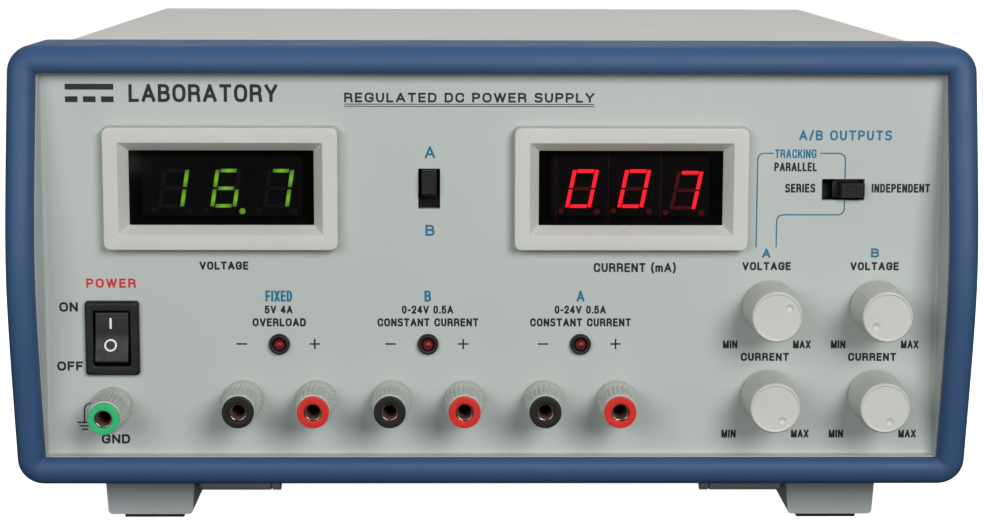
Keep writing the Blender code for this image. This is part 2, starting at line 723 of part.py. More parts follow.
def main():
    for item in list(bpy.data.objects):
        bpy.data.objects.remove(item)
    make_front_frame()
    make_front_panel()
    make_top_cover()
    make_chassis_base()
    make_rear_panel()
    for side, word in ((-1, "left"), (1, "right")):
        make_foot(f"front_{word}_foot", side, FRONT_FOOT_Y, True)
        make_foot(f"rear_{word}_foot", side, REAR_FOOT_Y, False)
        make_pad(f"front_{word}_pad", side, FRONT_FOOT_Y)
        make_pad(f"rear_{word}_pad", side, REAR_FOOT_Y)
        make_tilt_leg(f"{word}_tilt_leg", side)
    for quantity in METER_X:
        make_meter(quantity)
    make_power_switch()
    make_slide_switch("meter_switch", METER_SWITCH_PLACE, True, METER_SWITCH_TRAVEL)
    make_slide_switch("tracking_switch", TRACKING_PLACE, False, TRACKING_TRAVEL)
    for row in KNOB_Z:
        for column in KNOB_X:
            make_knob(row, column)
    for name, spot in post_places():
        make_terminal(name, spot)
    for output in OUTPUT_X:
        make_indicator(output)
    make_transformer()
    make_main_board()
    make_capacitor("filter_capacitor_a", 48.0, 110.0)
    make_capacitor("filter_capacitor_b", 84.0, 110.0)
    make_heat_sink()
    make_power_inlet()
    make_fuse()


main()
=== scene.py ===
"""Bench power supply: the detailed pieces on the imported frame, and the studio round it.

Shapes are drawn in millimetres in two helper coordinates. "y" counts backwards from the front
face of the control panel, and "z" counts upwards from the lower edge of the front frame. place()
turns them into metres in the shared frame.
"""

import math

import bmesh
import bpy
from mathutils import Matrix, Vector


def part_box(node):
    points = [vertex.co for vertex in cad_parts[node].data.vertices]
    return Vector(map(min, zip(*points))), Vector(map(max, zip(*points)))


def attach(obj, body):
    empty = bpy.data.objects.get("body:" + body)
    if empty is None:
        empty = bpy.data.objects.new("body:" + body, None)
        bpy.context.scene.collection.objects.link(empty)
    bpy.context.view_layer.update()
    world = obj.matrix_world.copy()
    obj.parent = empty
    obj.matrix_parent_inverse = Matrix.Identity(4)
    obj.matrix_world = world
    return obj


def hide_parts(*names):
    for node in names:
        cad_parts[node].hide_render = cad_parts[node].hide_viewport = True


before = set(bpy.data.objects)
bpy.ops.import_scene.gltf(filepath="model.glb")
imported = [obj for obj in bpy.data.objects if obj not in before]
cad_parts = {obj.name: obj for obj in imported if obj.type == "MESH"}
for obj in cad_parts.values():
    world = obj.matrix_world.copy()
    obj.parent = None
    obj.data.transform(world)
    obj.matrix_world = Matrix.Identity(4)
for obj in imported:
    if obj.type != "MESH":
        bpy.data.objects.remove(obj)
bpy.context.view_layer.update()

MM = 0.001
GAP = 0.3
PANEL_THICK = 2.0

# Places that the frame gives
frame_low, frame_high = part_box("front_frame")
PANEL_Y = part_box("front_panel")[1].y / MM - PANEL_THICK
FRAME_Z = frame_low.z / MM
HALF_WIDTH = frame_high.x / MM
FRAME_HEIGHT = (frame_high.z - frame_low.z) / MM
MIDDLE_Z = FRAME_HEIGHT / 2
FRAME_REAR = frame_high.y / MM - PANEL_Y
PROW_REACH = PANEL_Y - frame_low.y / MM


def span(node):
    """The lowest and highest corner of a CAD node, in millimetres and helper coordinates."""
    offset = Vector((0.0, PANEL_Y, FRAME_Z))
    return [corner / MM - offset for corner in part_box(node)]


def middle(node):
    low, high = span(node)
    return (low + high) / 2


def centre_of(node):
    """The middle of a CAD node as seen from the front: (x, z)."""
    spot = middle(node)
    return (spot.x, spot.z)


# ---------------------------------------------------------------- materials


def colour(red, green, blue):
    """Linear colour of an 8-bit display colour."""
    shares = [value / 255 for value in (red, green, blue)]
    linear = [s / 12.92 if s <= 0.04045 else ((s + 0.055) / 1.055) ** 2.4 for s in shares]
    return (*linear, 1.0)


def set_inputs(tree, node, inputs):
    """Sets a node's inputs, each to a value or by a link from another node's socket."""
    for name, value in inputs.items():
        if isinstance(value, bpy.types.NodeSocket):
            tree.links.new(value, node.inputs[name])
        else:
            node.inputs[name].default_value = value
    return node


def new_node(tree, kind, inputs):
    return set_inputs(tree, tree.nodes.new(f"ShaderNode{kind}"), inputs)


def noise_at(tree, size_mm, detail, stretch=(1.0, 1.0, 1.0)):
    """A noise texture whose features are about size_mm across, fixed to the piece."""
    spot = new_node(tree, "TexCoord", {})
    mapping = new_node(tree, "Mapping", {"Vector": spot.outputs["Object"], "Scale": stretch})
    noise = new_node(tree, "TexNoise", {"Vector": mapping.outputs["Vector"], "Detail": detail,
                                        "Scale": 1 / (size_mm * MM)})
    return noise.outputs["Fac"]


def remap(tree, value, low, high, new_low, new_high):
    node = new_node(tree, "MapRange", {"Value": value, "From Min": low, "From Max": high,
                                       "To Min": new_low, "To Max": new_high})
    return node.outputs["Result"]


def drifting(tree, noise, level, drift):
    """A value that wanders by drift to both sides of level, as the noise does about its middle."""
    return remap(tree, noise, 0.3, 0.7, level - drift, level + drift)


def edge_mask(tree, radius_mm):
    """1 on convex and concave edges, 0 on flat ground."""
    bevel = new_node(tree, "Bevel", {"Radius": radius_mm * MM})
    bevel.samples = 4
    flat = tree.nodes.new("ShaderNodeNewGeometry")
    dot = new_node(tree, "VectorMath", {0: bevel.outputs["Normal"], 1: flat.outputs["Normal"]})
    dot.operation = "DOT_PRODUCT"
    return remap(tree, dot.outputs["Value"], 0.9, 0.995, 1.0, 0.0)


def mixed(tree, share, first, second):
    """Blend of two colours, either of which may be a socket."""
    node = tree.nodes.new("ShaderNodeMix")
    node.data_type = "RGBA"
    colours = [i for i, socket in enumerate(node.inputs) if socket.type == "RGBA"]
    set_inputs(tree, node, {"Factor": share, colours[0]: first, colours[1]: second})
    return [s for s in node.outputs if s.type == "RGBA"][0]


def finish(name, base, roughness, metallic=0.0, mottle=0.05, mottle_mm=26.0, speck=0.03,
           grain_mm=0.45, grain_depth=0.006, rough_drift=0.06, worn=None,
           stretch=(1.0, 1.0, 1.0), subsurface=0.0):
    """A surface with broad and fine colour drift, a grain in relief and lightly worn edges."""
    material = bpy.data.materials.new(name)
    material.use_nodes = True
    tree = material.node_tree
    fine = noise_at(tree, grain_mm, 2.0, stretch)
    drift = drifting(tree, noise_at(tree, mottle_mm, 4.0), 1.0, mottle)
    total = new_node(tree, "Math", {0: drift, 1: drifting(tree, fine, 1.0, speck)})
    total.operation = "MULTIPLY"
    tint = new_node(tree, "HueSaturation", {"Color": base, "Value": total.outputs["Value"]})
    surface = tint.outputs["Color"]
    if worn:
        radius_mm, worn_colour = worn
        surface = mixed(tree, edge_mask(tree, radius_mm), surface, worn_colour)
    bump = new_node(tree, "Bump", {"Distance": grain_depth * MM, "Height": fine})
    set_inputs(tree, tree.nodes["Principled BSDF"], {
        "Base Color": surface,
        "Metallic": metallic,
        "Roughness": drifting(tree, noise_at(tree, mottle_mm / 3, 3.0), roughness, rough_drift),
        "Normal": bump.outputs["Normal"],
        "Subsurface Weight": subsurface,
        "Subsurface Scale": 0.001,
    })
    return material


LOOKS = {}


def look(name, rgb, roughness, **options):
    LOOKS[name] = finish(name, colour(*rgb), roughness, **options)


def glowing_look(name, middle_rgb, end_rgb, strength, even):
    """A glowing display part: brightest up to the share even of its half, duller at its ends. On
    the lit segments this is their own light; on the unlit red segments and the edges of the digit
    blocks it is a painted glow.
    """
    look(name, middle_rgb, 0.4)
    tree = LOOKS[name].node_tree
    spot = tree.nodes.new("ShaderNodeUVMap")
    spot.uv_map = "along"
    split = new_node(tree, "SeparateXYZ", {"Vector": spot.outputs["UV"]})
    share = remap(tree, split.outputs["X"], even, 1.0, 0.0, 1.0)
    tone = mixed(tree, share, colour(*middle_rgb), colour(*end_rgb))
    set_inputs(tree, tree.nodes["Principled BSDF"], {"Emission Color": tone,
                                                     "Emission Strength": strength})


# Housing
look("frame_blue", (50, 82, 122), 0.62, mottle_mm=40, grain_mm=0.5, grain_depth=0.012,
     worn=(0.5, colour(74, 104, 146)))
look("panel_grey", (184, 191, 187), 0.48, mottle=0.015, mottle_mm=60, speck=0.012,
     grain_mm=0.35, grain_depth=0.004)
look("cover_paint", (215, 215, 210), 0.55, mottle=0.02, mottle_mm=70, grain_mm=0.7,
     grain_depth=0.02, worn=(0.4, colour(222, 222, 218)))
look("chassis_steel", (168, 170, 168), 0.36, metallic=0.85, mottle=0.07, mottle_mm=9, speck=0.05,
     grain_mm=0.8, grain_depth=0.004, stretch=(1.0, 1.0, 0.12))
look("foot_grey", (176, 184, 184), 0.5, mottle=0.04, grain_mm=0.5, grain_depth=0.014,
     worn=(0.5, colour(188, 194, 193)))
look("rubber_black", (22, 22, 22), 0.8, mottle=0.15, mottle_mm=5, speck=0.2, grain_depth=0.02)
look("screw_zinc", (176, 177, 178), 0.28, metallic=1.0, mottle=0.08, mottle_mm=2, grain_mm=0.3)

# Meters: the filter lets through the share of light that its alpha leaves
look("meter_ivory", (203, 204, 197), 0.42, mottle=0.015, speck=0.012, grain_mm=0.3,
     grain_depth=0.003, worn=(0.25, colour(214, 214, 208)))
look("smoked_filter", (6, 4, 4), 0.1, rough_drift=0.03, grain_depth=0.0004, mottle=0.02)
filter_tree = LOOKS["smoked_filter"].node_tree
set_inputs(filter_tree, filter_tree.nodes["Principled BSDF"], {"Alpha": 0.35,
                                                               "Specular IOR Level": 0.25})
look("display_black", (3, 2, 2), 0.9, mottle=0.2, mottle_mm=4)
look("dim_green", (30, 10, 6), 0.6)
glowing_look("lit_green", (126, 200, 34), (62, 84, 40), strength=1.5, even=0.1)
glowing_look("lit_red", (255, 28, 44), (255, 20, 40), strength=2.4, even=0.9)
# The unlit red segments and the edges of the digit blocks glow faintly: a painted glow that stands
# in for the light they reflect.
glowing_look("dim_red", (96, 4, 14), (96, 4, 14), strength=0.6, even=0.9)
glowing_look("block_edge", (60, 8, 14), (60, 8, 14), strength=0.4, even=0.9)

# Controls, terminals and lamps
look("switch_black", (12, 12, 13), 0.5, mottle=0.1, mottle_mm=6, speck=0.08, grain_mm=0.25,
     grain_depth=0.004, worn=(0.2, colour(40, 40, 41)))
look("knob_grey", (204, 205, 198), 0.4, mottle=0.02, mottle_mm=9, speck=0.015, grain_mm=0.3,
     grain_depth=0.003)
look("pot_metal", (168, 166, 160), 0.3, metallic=1.0, mottle=0.06, mottle_mm=4)
look("terminal_metal", (205, 198, 184), 0.22, metallic=1.0, mottle=0.08, mottle_mm=3,
     grain_mm=0.2)
look("bore_shadow", (110, 74, 64), 0.7, mottle=0.2, mottle_mm=2)
look("cap_grey", (192, 195, 188), 0.36, mottle=0.03, mottle_mm=5, speck=0.02, grain_mm=0.3,
     grain_depth=0.004, subsurface=0.15)
look("cap_green", (52, 186, 118), 0.36, mottle=0.04, mottle_mm=3, grain_mm=0.3)
look("cap_red", (212, 44, 34), 0.36, mottle=0.04, mottle_mm=3, grain_mm=0.3)
look("cap_black", (8, 8, 8), 0.5, mottle=0.08, mottle_mm=3, grain_mm=0.3)
look("lamp_red", (112, 12, 10), 0.4, mottle=0.2, mottle_mm=1.2, speck=0.05, subsurface=0.1)
look("lamp_clip", (10, 12, 10), 0.6, mottle=0.1, mottle_mm=2)

# Inside and rear
look("transformer_iron", (88, 84, 80), 0.5, metallic=0.6, mottle=0.2, mottle_mm=12, speck=0.15,
     grain_mm=0.6, grain_depth=0.05, stretch=(1.0, 3.0, 0.1))
look("board_green", (38, 92, 58), 0.45, mottle=0.12, mottle_mm=8)
look("capacitor_sleeve", (34, 40, 58), 0.3, mottle=0.08)
look("sink_black", (34, 34, 36), 0.45, metallic=0.6, mottle=0.1, mottle_mm=14, speck=0.08,
     grain_mm=0.5, stretch=(1.0, 1.0, 0.1), worn=(0.25, colour(92, 92, 94)))

# Printing
INKS = (("black_ink", (14, 14, 15), 0.5, 0.1, 5, 0.12),
        ("blue_ink", (18, 110, 142), 0.5, 0.05, 5, 0.06),
        ("red_ink", (204, 40, 38), 0.5, 0.05, 5, 0.06),
        ("white_ink", (232, 234, 236), 0.45, 0.03, 2, 0.03))
for ink_name, ink_rgb, ink_rough, ink_mottle, ink_mottle_mm, ink_speck in INKS:
    look(ink_name, ink_rgb, ink_rough, mottle=ink_mottle, mottle_mm=ink_mottle_mm,
         speck=ink_speck, grain_mm=0.15, grain_depth=0.001)


# ---------------------------------------------------------------- shapes, in millimetres


def softened(path, cut, steps=4, closed=True):
    """A path of points in any number of dimensions with each corner turned into a small arc."""
    points = [Vector(point).to_tuple() if len(point) < 4 else tuple(point) for point in path]
    count = len(points)
    result = []
    for i, here in enumerate(points):
        if not closed and i in (0, count - 1):
            result.append(here)
            continue
        ends = []
        for other in (points[i - 1], points[(i + 1) % count]):
            apart = math.dist(here, other)
            share = min(cut, apart * 0.45) / apart
            ends.append([h + (o - h) * share for h, o in zip(here, other)])
        for step in range(steps + 1):
            t = step / steps
            result.append(tuple((1 - t) ** 2 * a + 2 * t * (1 - t) * h + t ** 2 * b
                                for a, h, b in zip(ends[0], here, ends[1])))
    return result


def rounded_outline(half_x, half_z, radius, steps=6):
    """Points (x, z) round a rectangle with round corners."""
    points = []
    for corner, (sign_x, sign_z) in enumerate(((1, 1), (-1, 1), (-1, -1), (1, -1))):
        for step in range(steps + 1):
            turn = math.radians(90 * (corner + step / steps))
            points.append((sign_x * (half_x - radius) + radius * math.cos(turn),
                           sign_z * (half_z - radius) + radius * math.sin(turn)))
    return points


def loops_solid(loops, closed_ring):
    """A solid skinned over equal-length loops of 3D points, as a ring or with flat ends."""
    shape = bmesh.new()
    rings = [[shape.verts.new(point) for point in loop] for loop in loops]
    following = rings[1:] + rings[:1] if closed_ring else rings[1:]
    for first, second in zip(rings, following):
        for i in range(len(first)):
            j = (i + 1) % len(first)
            shape.faces.new((first[i], first[j], second[j], second[i]))
    if not closed_ring:
        shape.faces.new(rings[0])
        shape.faces.new(rings[-1])
    bmesh.ops.recalc_face_normals(shape, faces=shape.faces)
    return shape


def prism(outline, start, end, along="y", edge=0.0):
    """An outline extruded along an axis, with its end edges rounded off by edge."""
    order = {"x": lambda a, b, t: (t, a, b), "y": lambda a, b, t: (a, t, b),
             "z": lambda a, b, t: (a, b, t)}[along]
    shape = loops_solid([[order(a, b, t) for a, b in outline] for t in (start, end)], False)
    if edge:
        ends = [e for e in shape.edges if any(len(f.verts) > 4 or len(outline) == 4
                                              for f in e.link_faces)]
        bmesh.ops.bevel(shape, geom=ends, offset=edge, segments=3, affect="EDGES",
                        profile=0.5, clamp_overlap=True)
    return shape


def rounded_block(half_x, half_z, radius, y0, y1, centre=(0.0, 0.0), edge=0.0):
    """A rounded rectangle extruded from y0 to y1."""
    outline = [(x + centre[0], z + centre[1]) for x, z in rounded_outline(half_x, half_z, radius)]
    return prism(outline, y0, y1, edge=edge)


def turned(profile, sides=64, centre=(0.0, 0.0), axis="y", depth_at=None):
    """A profile of (radius, distance) points turned about an axis. It closes on itself.

    depth_at(turn, radius, distance) makes the radius smaller there, as for flutes.
    """
    shape = bmesh.new()
    columns = []
    for radius, along in profile:
        column = []
        for side in range(1 if radius == 0 else sides):
            turn = 2 * math.pi * side / sides
            reach = radius - (depth_at(turn, radius, along) if depth_at else 0.0)
            across = centre[0] + reach * math.cos(turn)
            up = centre[1] + reach * math.sin(turn)
            spot = {"x": (along, across, up), "y": (across, along, up), "z": (across, up, along)}
            column.append(shape.verts.new(spot[axis]))
        columns.append(column)
    for first, second in zip(columns, columns[1:] + columns[:1]):
        if len(first) == len(second) == 1:
            continue
        for side in range(sides):
            after = (side + 1) % sides
            corners = [first[side % len(first)], first[after % len(first)],
                       second[after % len(second)], second[side % len(second)]]
            shape.faces.new(list(dict.fromkeys(corners)))
    bmesh.ops.recalc_face_normals(shape, faces=shape.faces)
    return shape


def turned_soft(profile, cut=0.15, **options):
    """A turned profile with its corners rounded, except where it meets the axis."""
    closed = all(radius > 0 for radius, _ in profile)
    return turned(softened(profile, cut, closed=closed), **options)


def box(low, high, edge=0.0):
    """A block between two opposite corners."""
    (x0, y0, z0), (x1, y1, z1) = low, high
    return prism([(x0, z0), (x1, z0), (x1, z1), (x0, z1)], y0, y1, edge=edge)


def as_object(name, shape):
    """An object in the scene, made of a shape, which is used up."""
    mesh = bpy.data.meshes.new(name)
    shape.to_mesh(mesh)
    shape.free()
    item = bpy.data.objects.new(name, mesh)
    bpy.context.scene.collection.objects.link(item)
    return item


def joined(shapes):
    """Several shapes as one."""
    merged = bmesh.new()
    for shape in shapes:
        mesh = bpy.data.meshes.new("part")
        shape.to_mesh(mesh)
        shape.free()
        merged.from_mesh(mesh)
        bpy.data.meshes.remove(mesh)
    return merged


def carved(shape, cutter):
    """A shape after a cutter is taken out of it. The pieces of a joined cutter stand apart."""
    item = as_object("carved", shape)
    helper = as_object("cutter", cutter)
    step = item.modifiers.new("cut", "BOOLEAN")
    step.operation = "DIFFERENCE"
    step.solver = "EXACT"
    step.object = helper
    graph = bpy.context.evaluated_depsgraph_get()
    result = bmesh.new()
    result.from_mesh(item.evaluated_get(graph).to_mesh())
    for used in (item, helper):
        bpy.data.objects.remove(used)
    return result


def moved(shape, matrix):
    bmesh.ops.transform(shape, matrix=matrix, verts=shape.verts)
    return shape


# ---------------------------------------------------------------- pieces


HARD_ANGLE = 32


def place(name, shape, body, look_name, slot=None, hides=(), sharp=HARD_ANGLE, bevel=0.0):
    """A piece in the shared frame that moves with a CAD body."""
    to_frame = Matrix.Translation((0.0, PANEL_Y * MM, FRAME_Z * MM)) @ Matrix.Scale(MM, 4)
    bmesh.ops.transform(shape, matrix=to_frame, verts=shape.verts)
    item = as_object(name, shape)
    item.data.materials.append(LOOKS[look_name])
    item.data.shade_smooth()
    item.data.set_sharp_from_angle(angle=math.radians(sharp))
    if bevel:
        round_off(item, bevel)
    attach(item, body)
    if hides:
        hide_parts(*hides)
    return item


def place_on_case(name, shape, look_name, *hides, **options):
    """A piece that stays with the case."""
    place(name, shape, "case", look_name, look_name, hides, **options)


def round_off(item, width):
    """Rounds a piece's hard edges by width, in millimetres."""
    step = item.modifiers.new("round_off", "BEVEL")
    step.width = width * MM
    step.segments = 3
    step.limit_method = "ANGLE"
    step.angle_limit = math.radians(HARD_ANGLE)
    step.harden_normals = True


def dress(node, look_name, bevel=0.0):
    """A CAD node that stays gets its material and, where bevel is given, soft edges."""
    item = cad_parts[node]
    item.data.materials.clear()
    item.data.materials.append(LOOKS[look_name])
    if bevel:
        weld = item.modifiers.new("weld", "WELD")
        weld.merge_threshold = 0.002 * MM
        flat = item.modifiers.new("flat", "DECIMATE")
        flat.decimate_type = "DISSOLVE"
        flat.angle_limit = math.radians(1.5)
        round_off(item, bevel)


# Front frame and control panel: the same section as the CAD, with finer steps

FRAME_CORNER = 6.6
TIGHTEST = 0.4
BEAD_WIDTH = 7.1
BEAD_ROUND = 3.2
LIP_DEPTH = 4.2
FRAME_SHELL = 1.8
CASE_INSET = FRAME_SHELL + GAP
WALL_OUTER = BEAD_WIDTH - 1.5
TRAY_OUTER = WALL_OUTER + GAP
TRAY_INNER = BEAD_WIDTH + GAP
TRAY_EDGE = LIP_DEPTH + GAP
PANEL_FILLET = 0.8
PROW_SLOPE = 0.24
PROW_ROUND = 16.0
CORNER_STEPS = 12
SIDE_STEPS = 36


def prow(z):
    """How far the frame's front stands before the panel at a height: a rounded shallow V."""
    return PROW_REACH - PROW_SLOPE * (math.hypot(z - MIDDLE_Z, PROW_ROUND) - PROW_ROUND)


def frame_loop(inset_at, depth_at):
    """The frame's outline moved inwards, at the depth that depth_at gives for each height."""
    def spot(sign_x, sign_z, height, turn, share):
        inset = inset_at(height)
        radius = max(FRAME_CORNER - inset, TIGHTEST)
        across = HALF_WIDTH - inset - radius
        up = MIDDLE_Z - inset - radius
        x = sign_x * across + radius * math.cos(turn)
        z = MIDDLE_Z + sign_z * up * share + radius * math.sin(turn) * (share == 1)
        return (x, depth_at(z), z)

    loop = []
    for corner, (sign_x, sign_z) in enumerate(((1, 1), (-1, 1), (-1, -1), (1, -1))):
        straight = sign_z * (MIDDLE_Z - FRAME_CORNER)
        for step in range(CORNER_STEPS + 1):
            turn = math.radians(90 * (corner + step / CORNER_STEPS))
            height = MIDDLE_Z + straight + (FRAME_CORNER - TRAY_INNER) * math.sin(turn)
            loop.append(spot(sign_x, sign_z, height, turn, 1))
        if corner % 2:
            turn = math.pi if sign_x < 0 else 0.0
            for step in range(1, SIDE_STEPS):
                share = 1 - 2 * step / SIDE_STEPS
                loop.append(spot(sign_x, sign_z, MIDDLE_Z + straight * share, turn, share))
    return loop


def even_loop(inset, depth_at):
    return frame_loop(lambda height: inset, depth_at)


def make_front_frame():
    loops = [even_loop(0, lambda z: FRAME_REAR)]
    bead_steps = 20
    for step in range(bead_steps + 1):
        turn = math.pi * step / bead_steps
        back = BEAD_ROUND * (1 - math.sin(turn))
        inset = BEAD_WIDTH / 2 * (1 - math.cos(turn))
        loops.append(even_loop(inset, lambda z, back=back: back - prow(z)))
    loops.append(even_loop(BEAD_WIDTH, lambda z: LIP_DEPTH - prow(z)))
    loops.append(even_loop(WALL_OUTER, lambda z: LIP_DEPTH - prow(z)))
    loops.append(even_loop(WALL_OUTER, lambda z: -GAP))
    loops.append(even_loop(FRAME_SHELL, lambda z: -GAP))
    loops.append(even_loop(FRAME_SHELL, lambda z: FRAME_REAR))
    place_on_case("frame_moulding", loops_solid(loops, True), "frame_blue", "front_frame",
                  sharp=50)


METERS = {"voltage": middle("voltage_meter_window"), "current": middle("current_meter_window")}
POSTS = ["ground"] + [f"{output}_{pole}" for output in ("fixed", "output_b", "output_a")
                      for pole in ("negative", "positive")]
KNOBS = [f"{row}_{column}" for row in ("voltage", "current") for column in ("a", "b")]
LEDS = ["overload_led", "constant_current_b_led", "constant_current_a_led"]


def fillet_radius(height):
    """The panel's inner fillet, smaller where its wall is low."""
    return min(PANEL_FILLET, 0.8 * (prow(height) - TRAY_EDGE))


def make_control_panel():
    loops = [
        even_loop(CASE_INSET, lambda z: PANEL_THICK),
        even_loop(CASE_INSET, lambda z: 0.0),
        even_loop(TRAY_OUTER, lambda z: 0.0),
        even_loop(TRAY_OUTER, lambda z: TRAY_EDGE - prow(z)),
        even_loop(TRAY_INNER, lambda z: TRAY_EDGE - prow(z)),
    ]
    steps = 8
    for step in range(steps + 1):
        turn = math.pi / 2 * step / steps
        loops.append(frame_loop(
            lambda height, turn=turn: TRAY_INNER + fillet_radius(height) * (1 - math.cos(turn)),
            lambda z, turn=turn: -fillet_radius(z) * (1 - math.sin(turn))))
    square_holes = [(f"{quantity}_meter_window", 27.5, 13.0, 0.6) for quantity in METERS]
    square_holes += [("power_switch_body", 6.6, 8.9, 0.4), ("meter_switch_body", 2.82, 5.2, 0.2),
                     ("tracking_switch_body", 5.5, 2.77, 0.2)]
    round_holes = [(f"{name}_potentiometer", 4.2) for name in KNOBS]
    round_holes += [(f"{name}_socket", 4.0) for name in POSTS]
    round_holes += [(name, 2.5) for name in LEDS]
    front, back = -1.0, PANEL_THICK + 1.0
    holes = []
    for node, half_x, half_z, radius in square_holes:
        holes.append(rounded_block(half_x, half_z, radius, front, back, centre_of(node)))
    for node, radius in round_holes:
        plug = [(0, front), (radius, front), (radius, back), (0, back)]
        holes.append(turned(plug, 32, centre_of(node)))
    place_on_case("control_panel", carved(loops_solid(loops, False), joined(holes)),
                  "panel_grey", "front_panel", sharp=40)


# Printing on the panel

INK_FRONT = -0.035
INK_BACK = 0.01
prints = {"black_ink": [], "blue_ink": [], "red_ink": []}


def ribbon(points, width, closed=False, lift=0.0):
    """A flat printed line of even width along points (x, z), lift nearer the viewer."""
    front = INK_FRONT - lift
    count = len(points)
    rows = []
    for i, here in enumerate(points):
        before = points[i - 1] if closed or i else here
        after = points[(i + 1) % count] if closed or i < count - 1 else here
        along = Vector((after[0] - before[0], after[1] - before[1])).normalized()
        side = Vector((-along.y, along.x)) * width / 2
        rows.append([(here[0] + side.x * sign, y, here[1] + side.y * sign)
                     for sign, y in ((1, front), (-1, front), (-1, INK_BACK), (1, INK_BACK))])
    return loops_solid(rows, closed)


def bowl(x, low, high):
    """The three sides of a round part that starts and ends at the stem."""
    return [(0, high), (x, high), (x, low), (0, low)]


STEM, TOP, BASE = [(0, 0), (0, 1)], [(0, 1), (1, 1)], [(0, 0), (1, 0)]

# Each letter: its width as a share of its height, and the middle lines of its strokes
LETTERS = {
    " ": (0.15, []),
    "A": (0.7, [[(0, 0), (0.5, 1)], [(0.5, 1), (1, 0)], [(0.3, 0.3), (0.7, 0.3)]]),
    "B": (0.58, [STEM, bowl(0.92, 0.53, 1), bowl(1, 0, 0.53)]),
    "C": (0.62, [[(1, 0.7), (1, 1), (0, 1), (0, 0), (1, 0), (1, 0.3)]]),
    "D": (0.6, [STEM, bowl(1, 0, 1)]),
    "E": (0.5, [STEM, TOP, BASE, [(0, 0.52), (0.9, 0.52)]]),
    "F": (0.48, [STEM, TOP, [(0, 0.5), (0.85, 0.5)]]),
    "G": (0.65, [[(1, 0.74), (1, 1), (0, 1), (0, 0), (1, 0), (1, 0.45)],
                 [(0.6, 0.45), (1, 0.45)]]),
    "I": (0.0, [STEM]),
    "K": (0.6, [STEM, [(0.06, 0.38), (1, 1)], [(0.35, 0.6), (1, 0)]]),
    "L": (0.48, [STEM, BASE]),
    "M": (0.74, [STEM, [(0.04, 1), (0.5, 0)], [(0.5, 0), (0.96, 1)], [(1, 0), (1, 1)]]),
    "N": (0.6, [STEM, [(0.04, 1), (0.96, 0)], [(1, 0), (1, 1)]]),
    "O": (0.66, [[(1, 1), (0, 1), (0, 0), (1, 0)]]),
    "P": (0.56, [STEM, bowl(1, 0.45, 1)]),
    "R": (0.6, [STEM, bowl(0.94, 0.48, 1), [(0.5, 0.48), (0.94, 0.48), (1, 0)]]),
    "S": (0.56, [[(0.95, 0.9), (0.95, 1), (0.03, 1), (0.03, 0.54), (1, 0.5), (1, 0), (0, 0),
                  (0, 0.1)]]),
    "T": (0.6, [TOP, [(0.5, 0), (0.5, 1)]]),
    "U": (0.58, [[(0, 1), (0, 0), (1, 0), (1, 1)]]),
    "V": (0.66, [[(0, 1), (0.5, 0)], [(0.5, 0), (1, 1)]]),
    "W": (0.95, [[(0, 1), (0.25, 0)], [(0.25, 0), (0.5, 1)], [(0.5, 1), (0.75, 0)],
                 [(0.75, 0), (1, 1)]]),
    "X": (0.62, [[(0, 0), (1, 1)], [(0, 1), (1, 0)]]),
    "Y": (0.64, [[(0, 1), (0.5, 0.44)], [(1, 1), (0.5, 0.44)], [(0.5, 0), (0.5, 0.44)]]),
    "m": (0.74, [[(0, 0), (0, 0.68)], [(0, 0.4), (0, 0.68), (0.5, 0.68), (0.5, 0)],
                 [(0.5, 0.4), (0.5, 0.68), (1, 0.68), (1, 0)]]),
    "(": (0.16, [[(1, 1.12), (0, 0.85), (0, 0.1), (1, -0.18)]]),
    ")": (0.16, [[(0, 1.12), (1, 0.85), (1, 0.1), (0, -0.18)]]),
    "/": (0.3, [[(0, -0.05), (1, 1.05)]]),
    "-": (0.24, [[(0, 0.4), (1, 0.4)]]),
    ".": (0.0, [[(0, 0), (0, 0.03)]]),
    "0": (0.5, [[(1, 1), (0, 1), (0, 0), (1, 0)]]),
    "2": (0.5, [[(0.02, 0.72), (0.02, 1), (1, 1), (1, 0.55), (0.04, 0.06)], BASE]),
    "4": (0.54, [[(0.74, 0), (0.74, 1)], [(0.7, 1), (0, 0.3)], [(0, 0.27), (1, 0.27)]]),
    "5": (0.5, [[(0.1, 1), (0.94, 1)], [(0.1, 1), (0.04, 0.54)],
                [(0.04, 0.54), (0.2, 0.64), (1, 0.64), (1, 0), (0, 0), (0, 0.25)]]),
}
CLOSED_LETTERS = "O0"
END_REACH = 0.42
STROKE_LIFT = 0.005


def reach_out(points, length):
    """A stroke made longer at both ends."""
    result = list(points)
    for end, inner in ((0, 1), (-1, -2)):
        tip, behind = Vector(result[end]), Vector(result[inner])
        result[end] = tuple(tip + (tip - behind).normalized() * length)
    return result


def lettering(words, x0, x1, z0, z1, weight, gap=0.15):
    """Words in plain strokes of one weight that fill a rectangle on the panel."""
    high = z1 - z0
    natural = sum(LETTERS[letter][0] for letter in words) + gap * (len(words) - 1)
    stretch = (x1 - x0 - weight * len(words)) / (high * natural)
    shapes = []
    left = x0
    for letter in words:
        wide, strokes = LETTERS[letter]
        wide *= stretch * high
        for order, stroke in enumerate(strokes):
            points = [(left + weight / 2 + x * wide, z0 + weight / 2 + z * (high - weight))
                      for x, z in stroke]
            closed = letter in CLOSED_LETTERS
            if not closed:
                points = reach_out(points, END_REACH * weight)
            if len(points) > 2:
                points = softened(points, 0.5 * high, 6, closed=closed)
            shapes.append(ribbon(points, weight, closed, STROKE_LIFT * order))
        left += wide + weight + gap * stretch * high
    return joined(shapes)


def label(words, ink, x, z, width, height, weight, **options):
    """Words centred on (x, z)."""
    prints[ink].append(lettering(words, x - width / 2, x + width / 2, z - height / 2,
                                 z + height / 2, weight, **options))


def line(ink, points, width, cut=0.0, lift=0.0):
    """A printed line whose corners are arcs of about cut."""
    path = softened(points, cut, 8, closed=False) if cut else points
    prints[ink].append(ribbon(path, width, lift=lift))


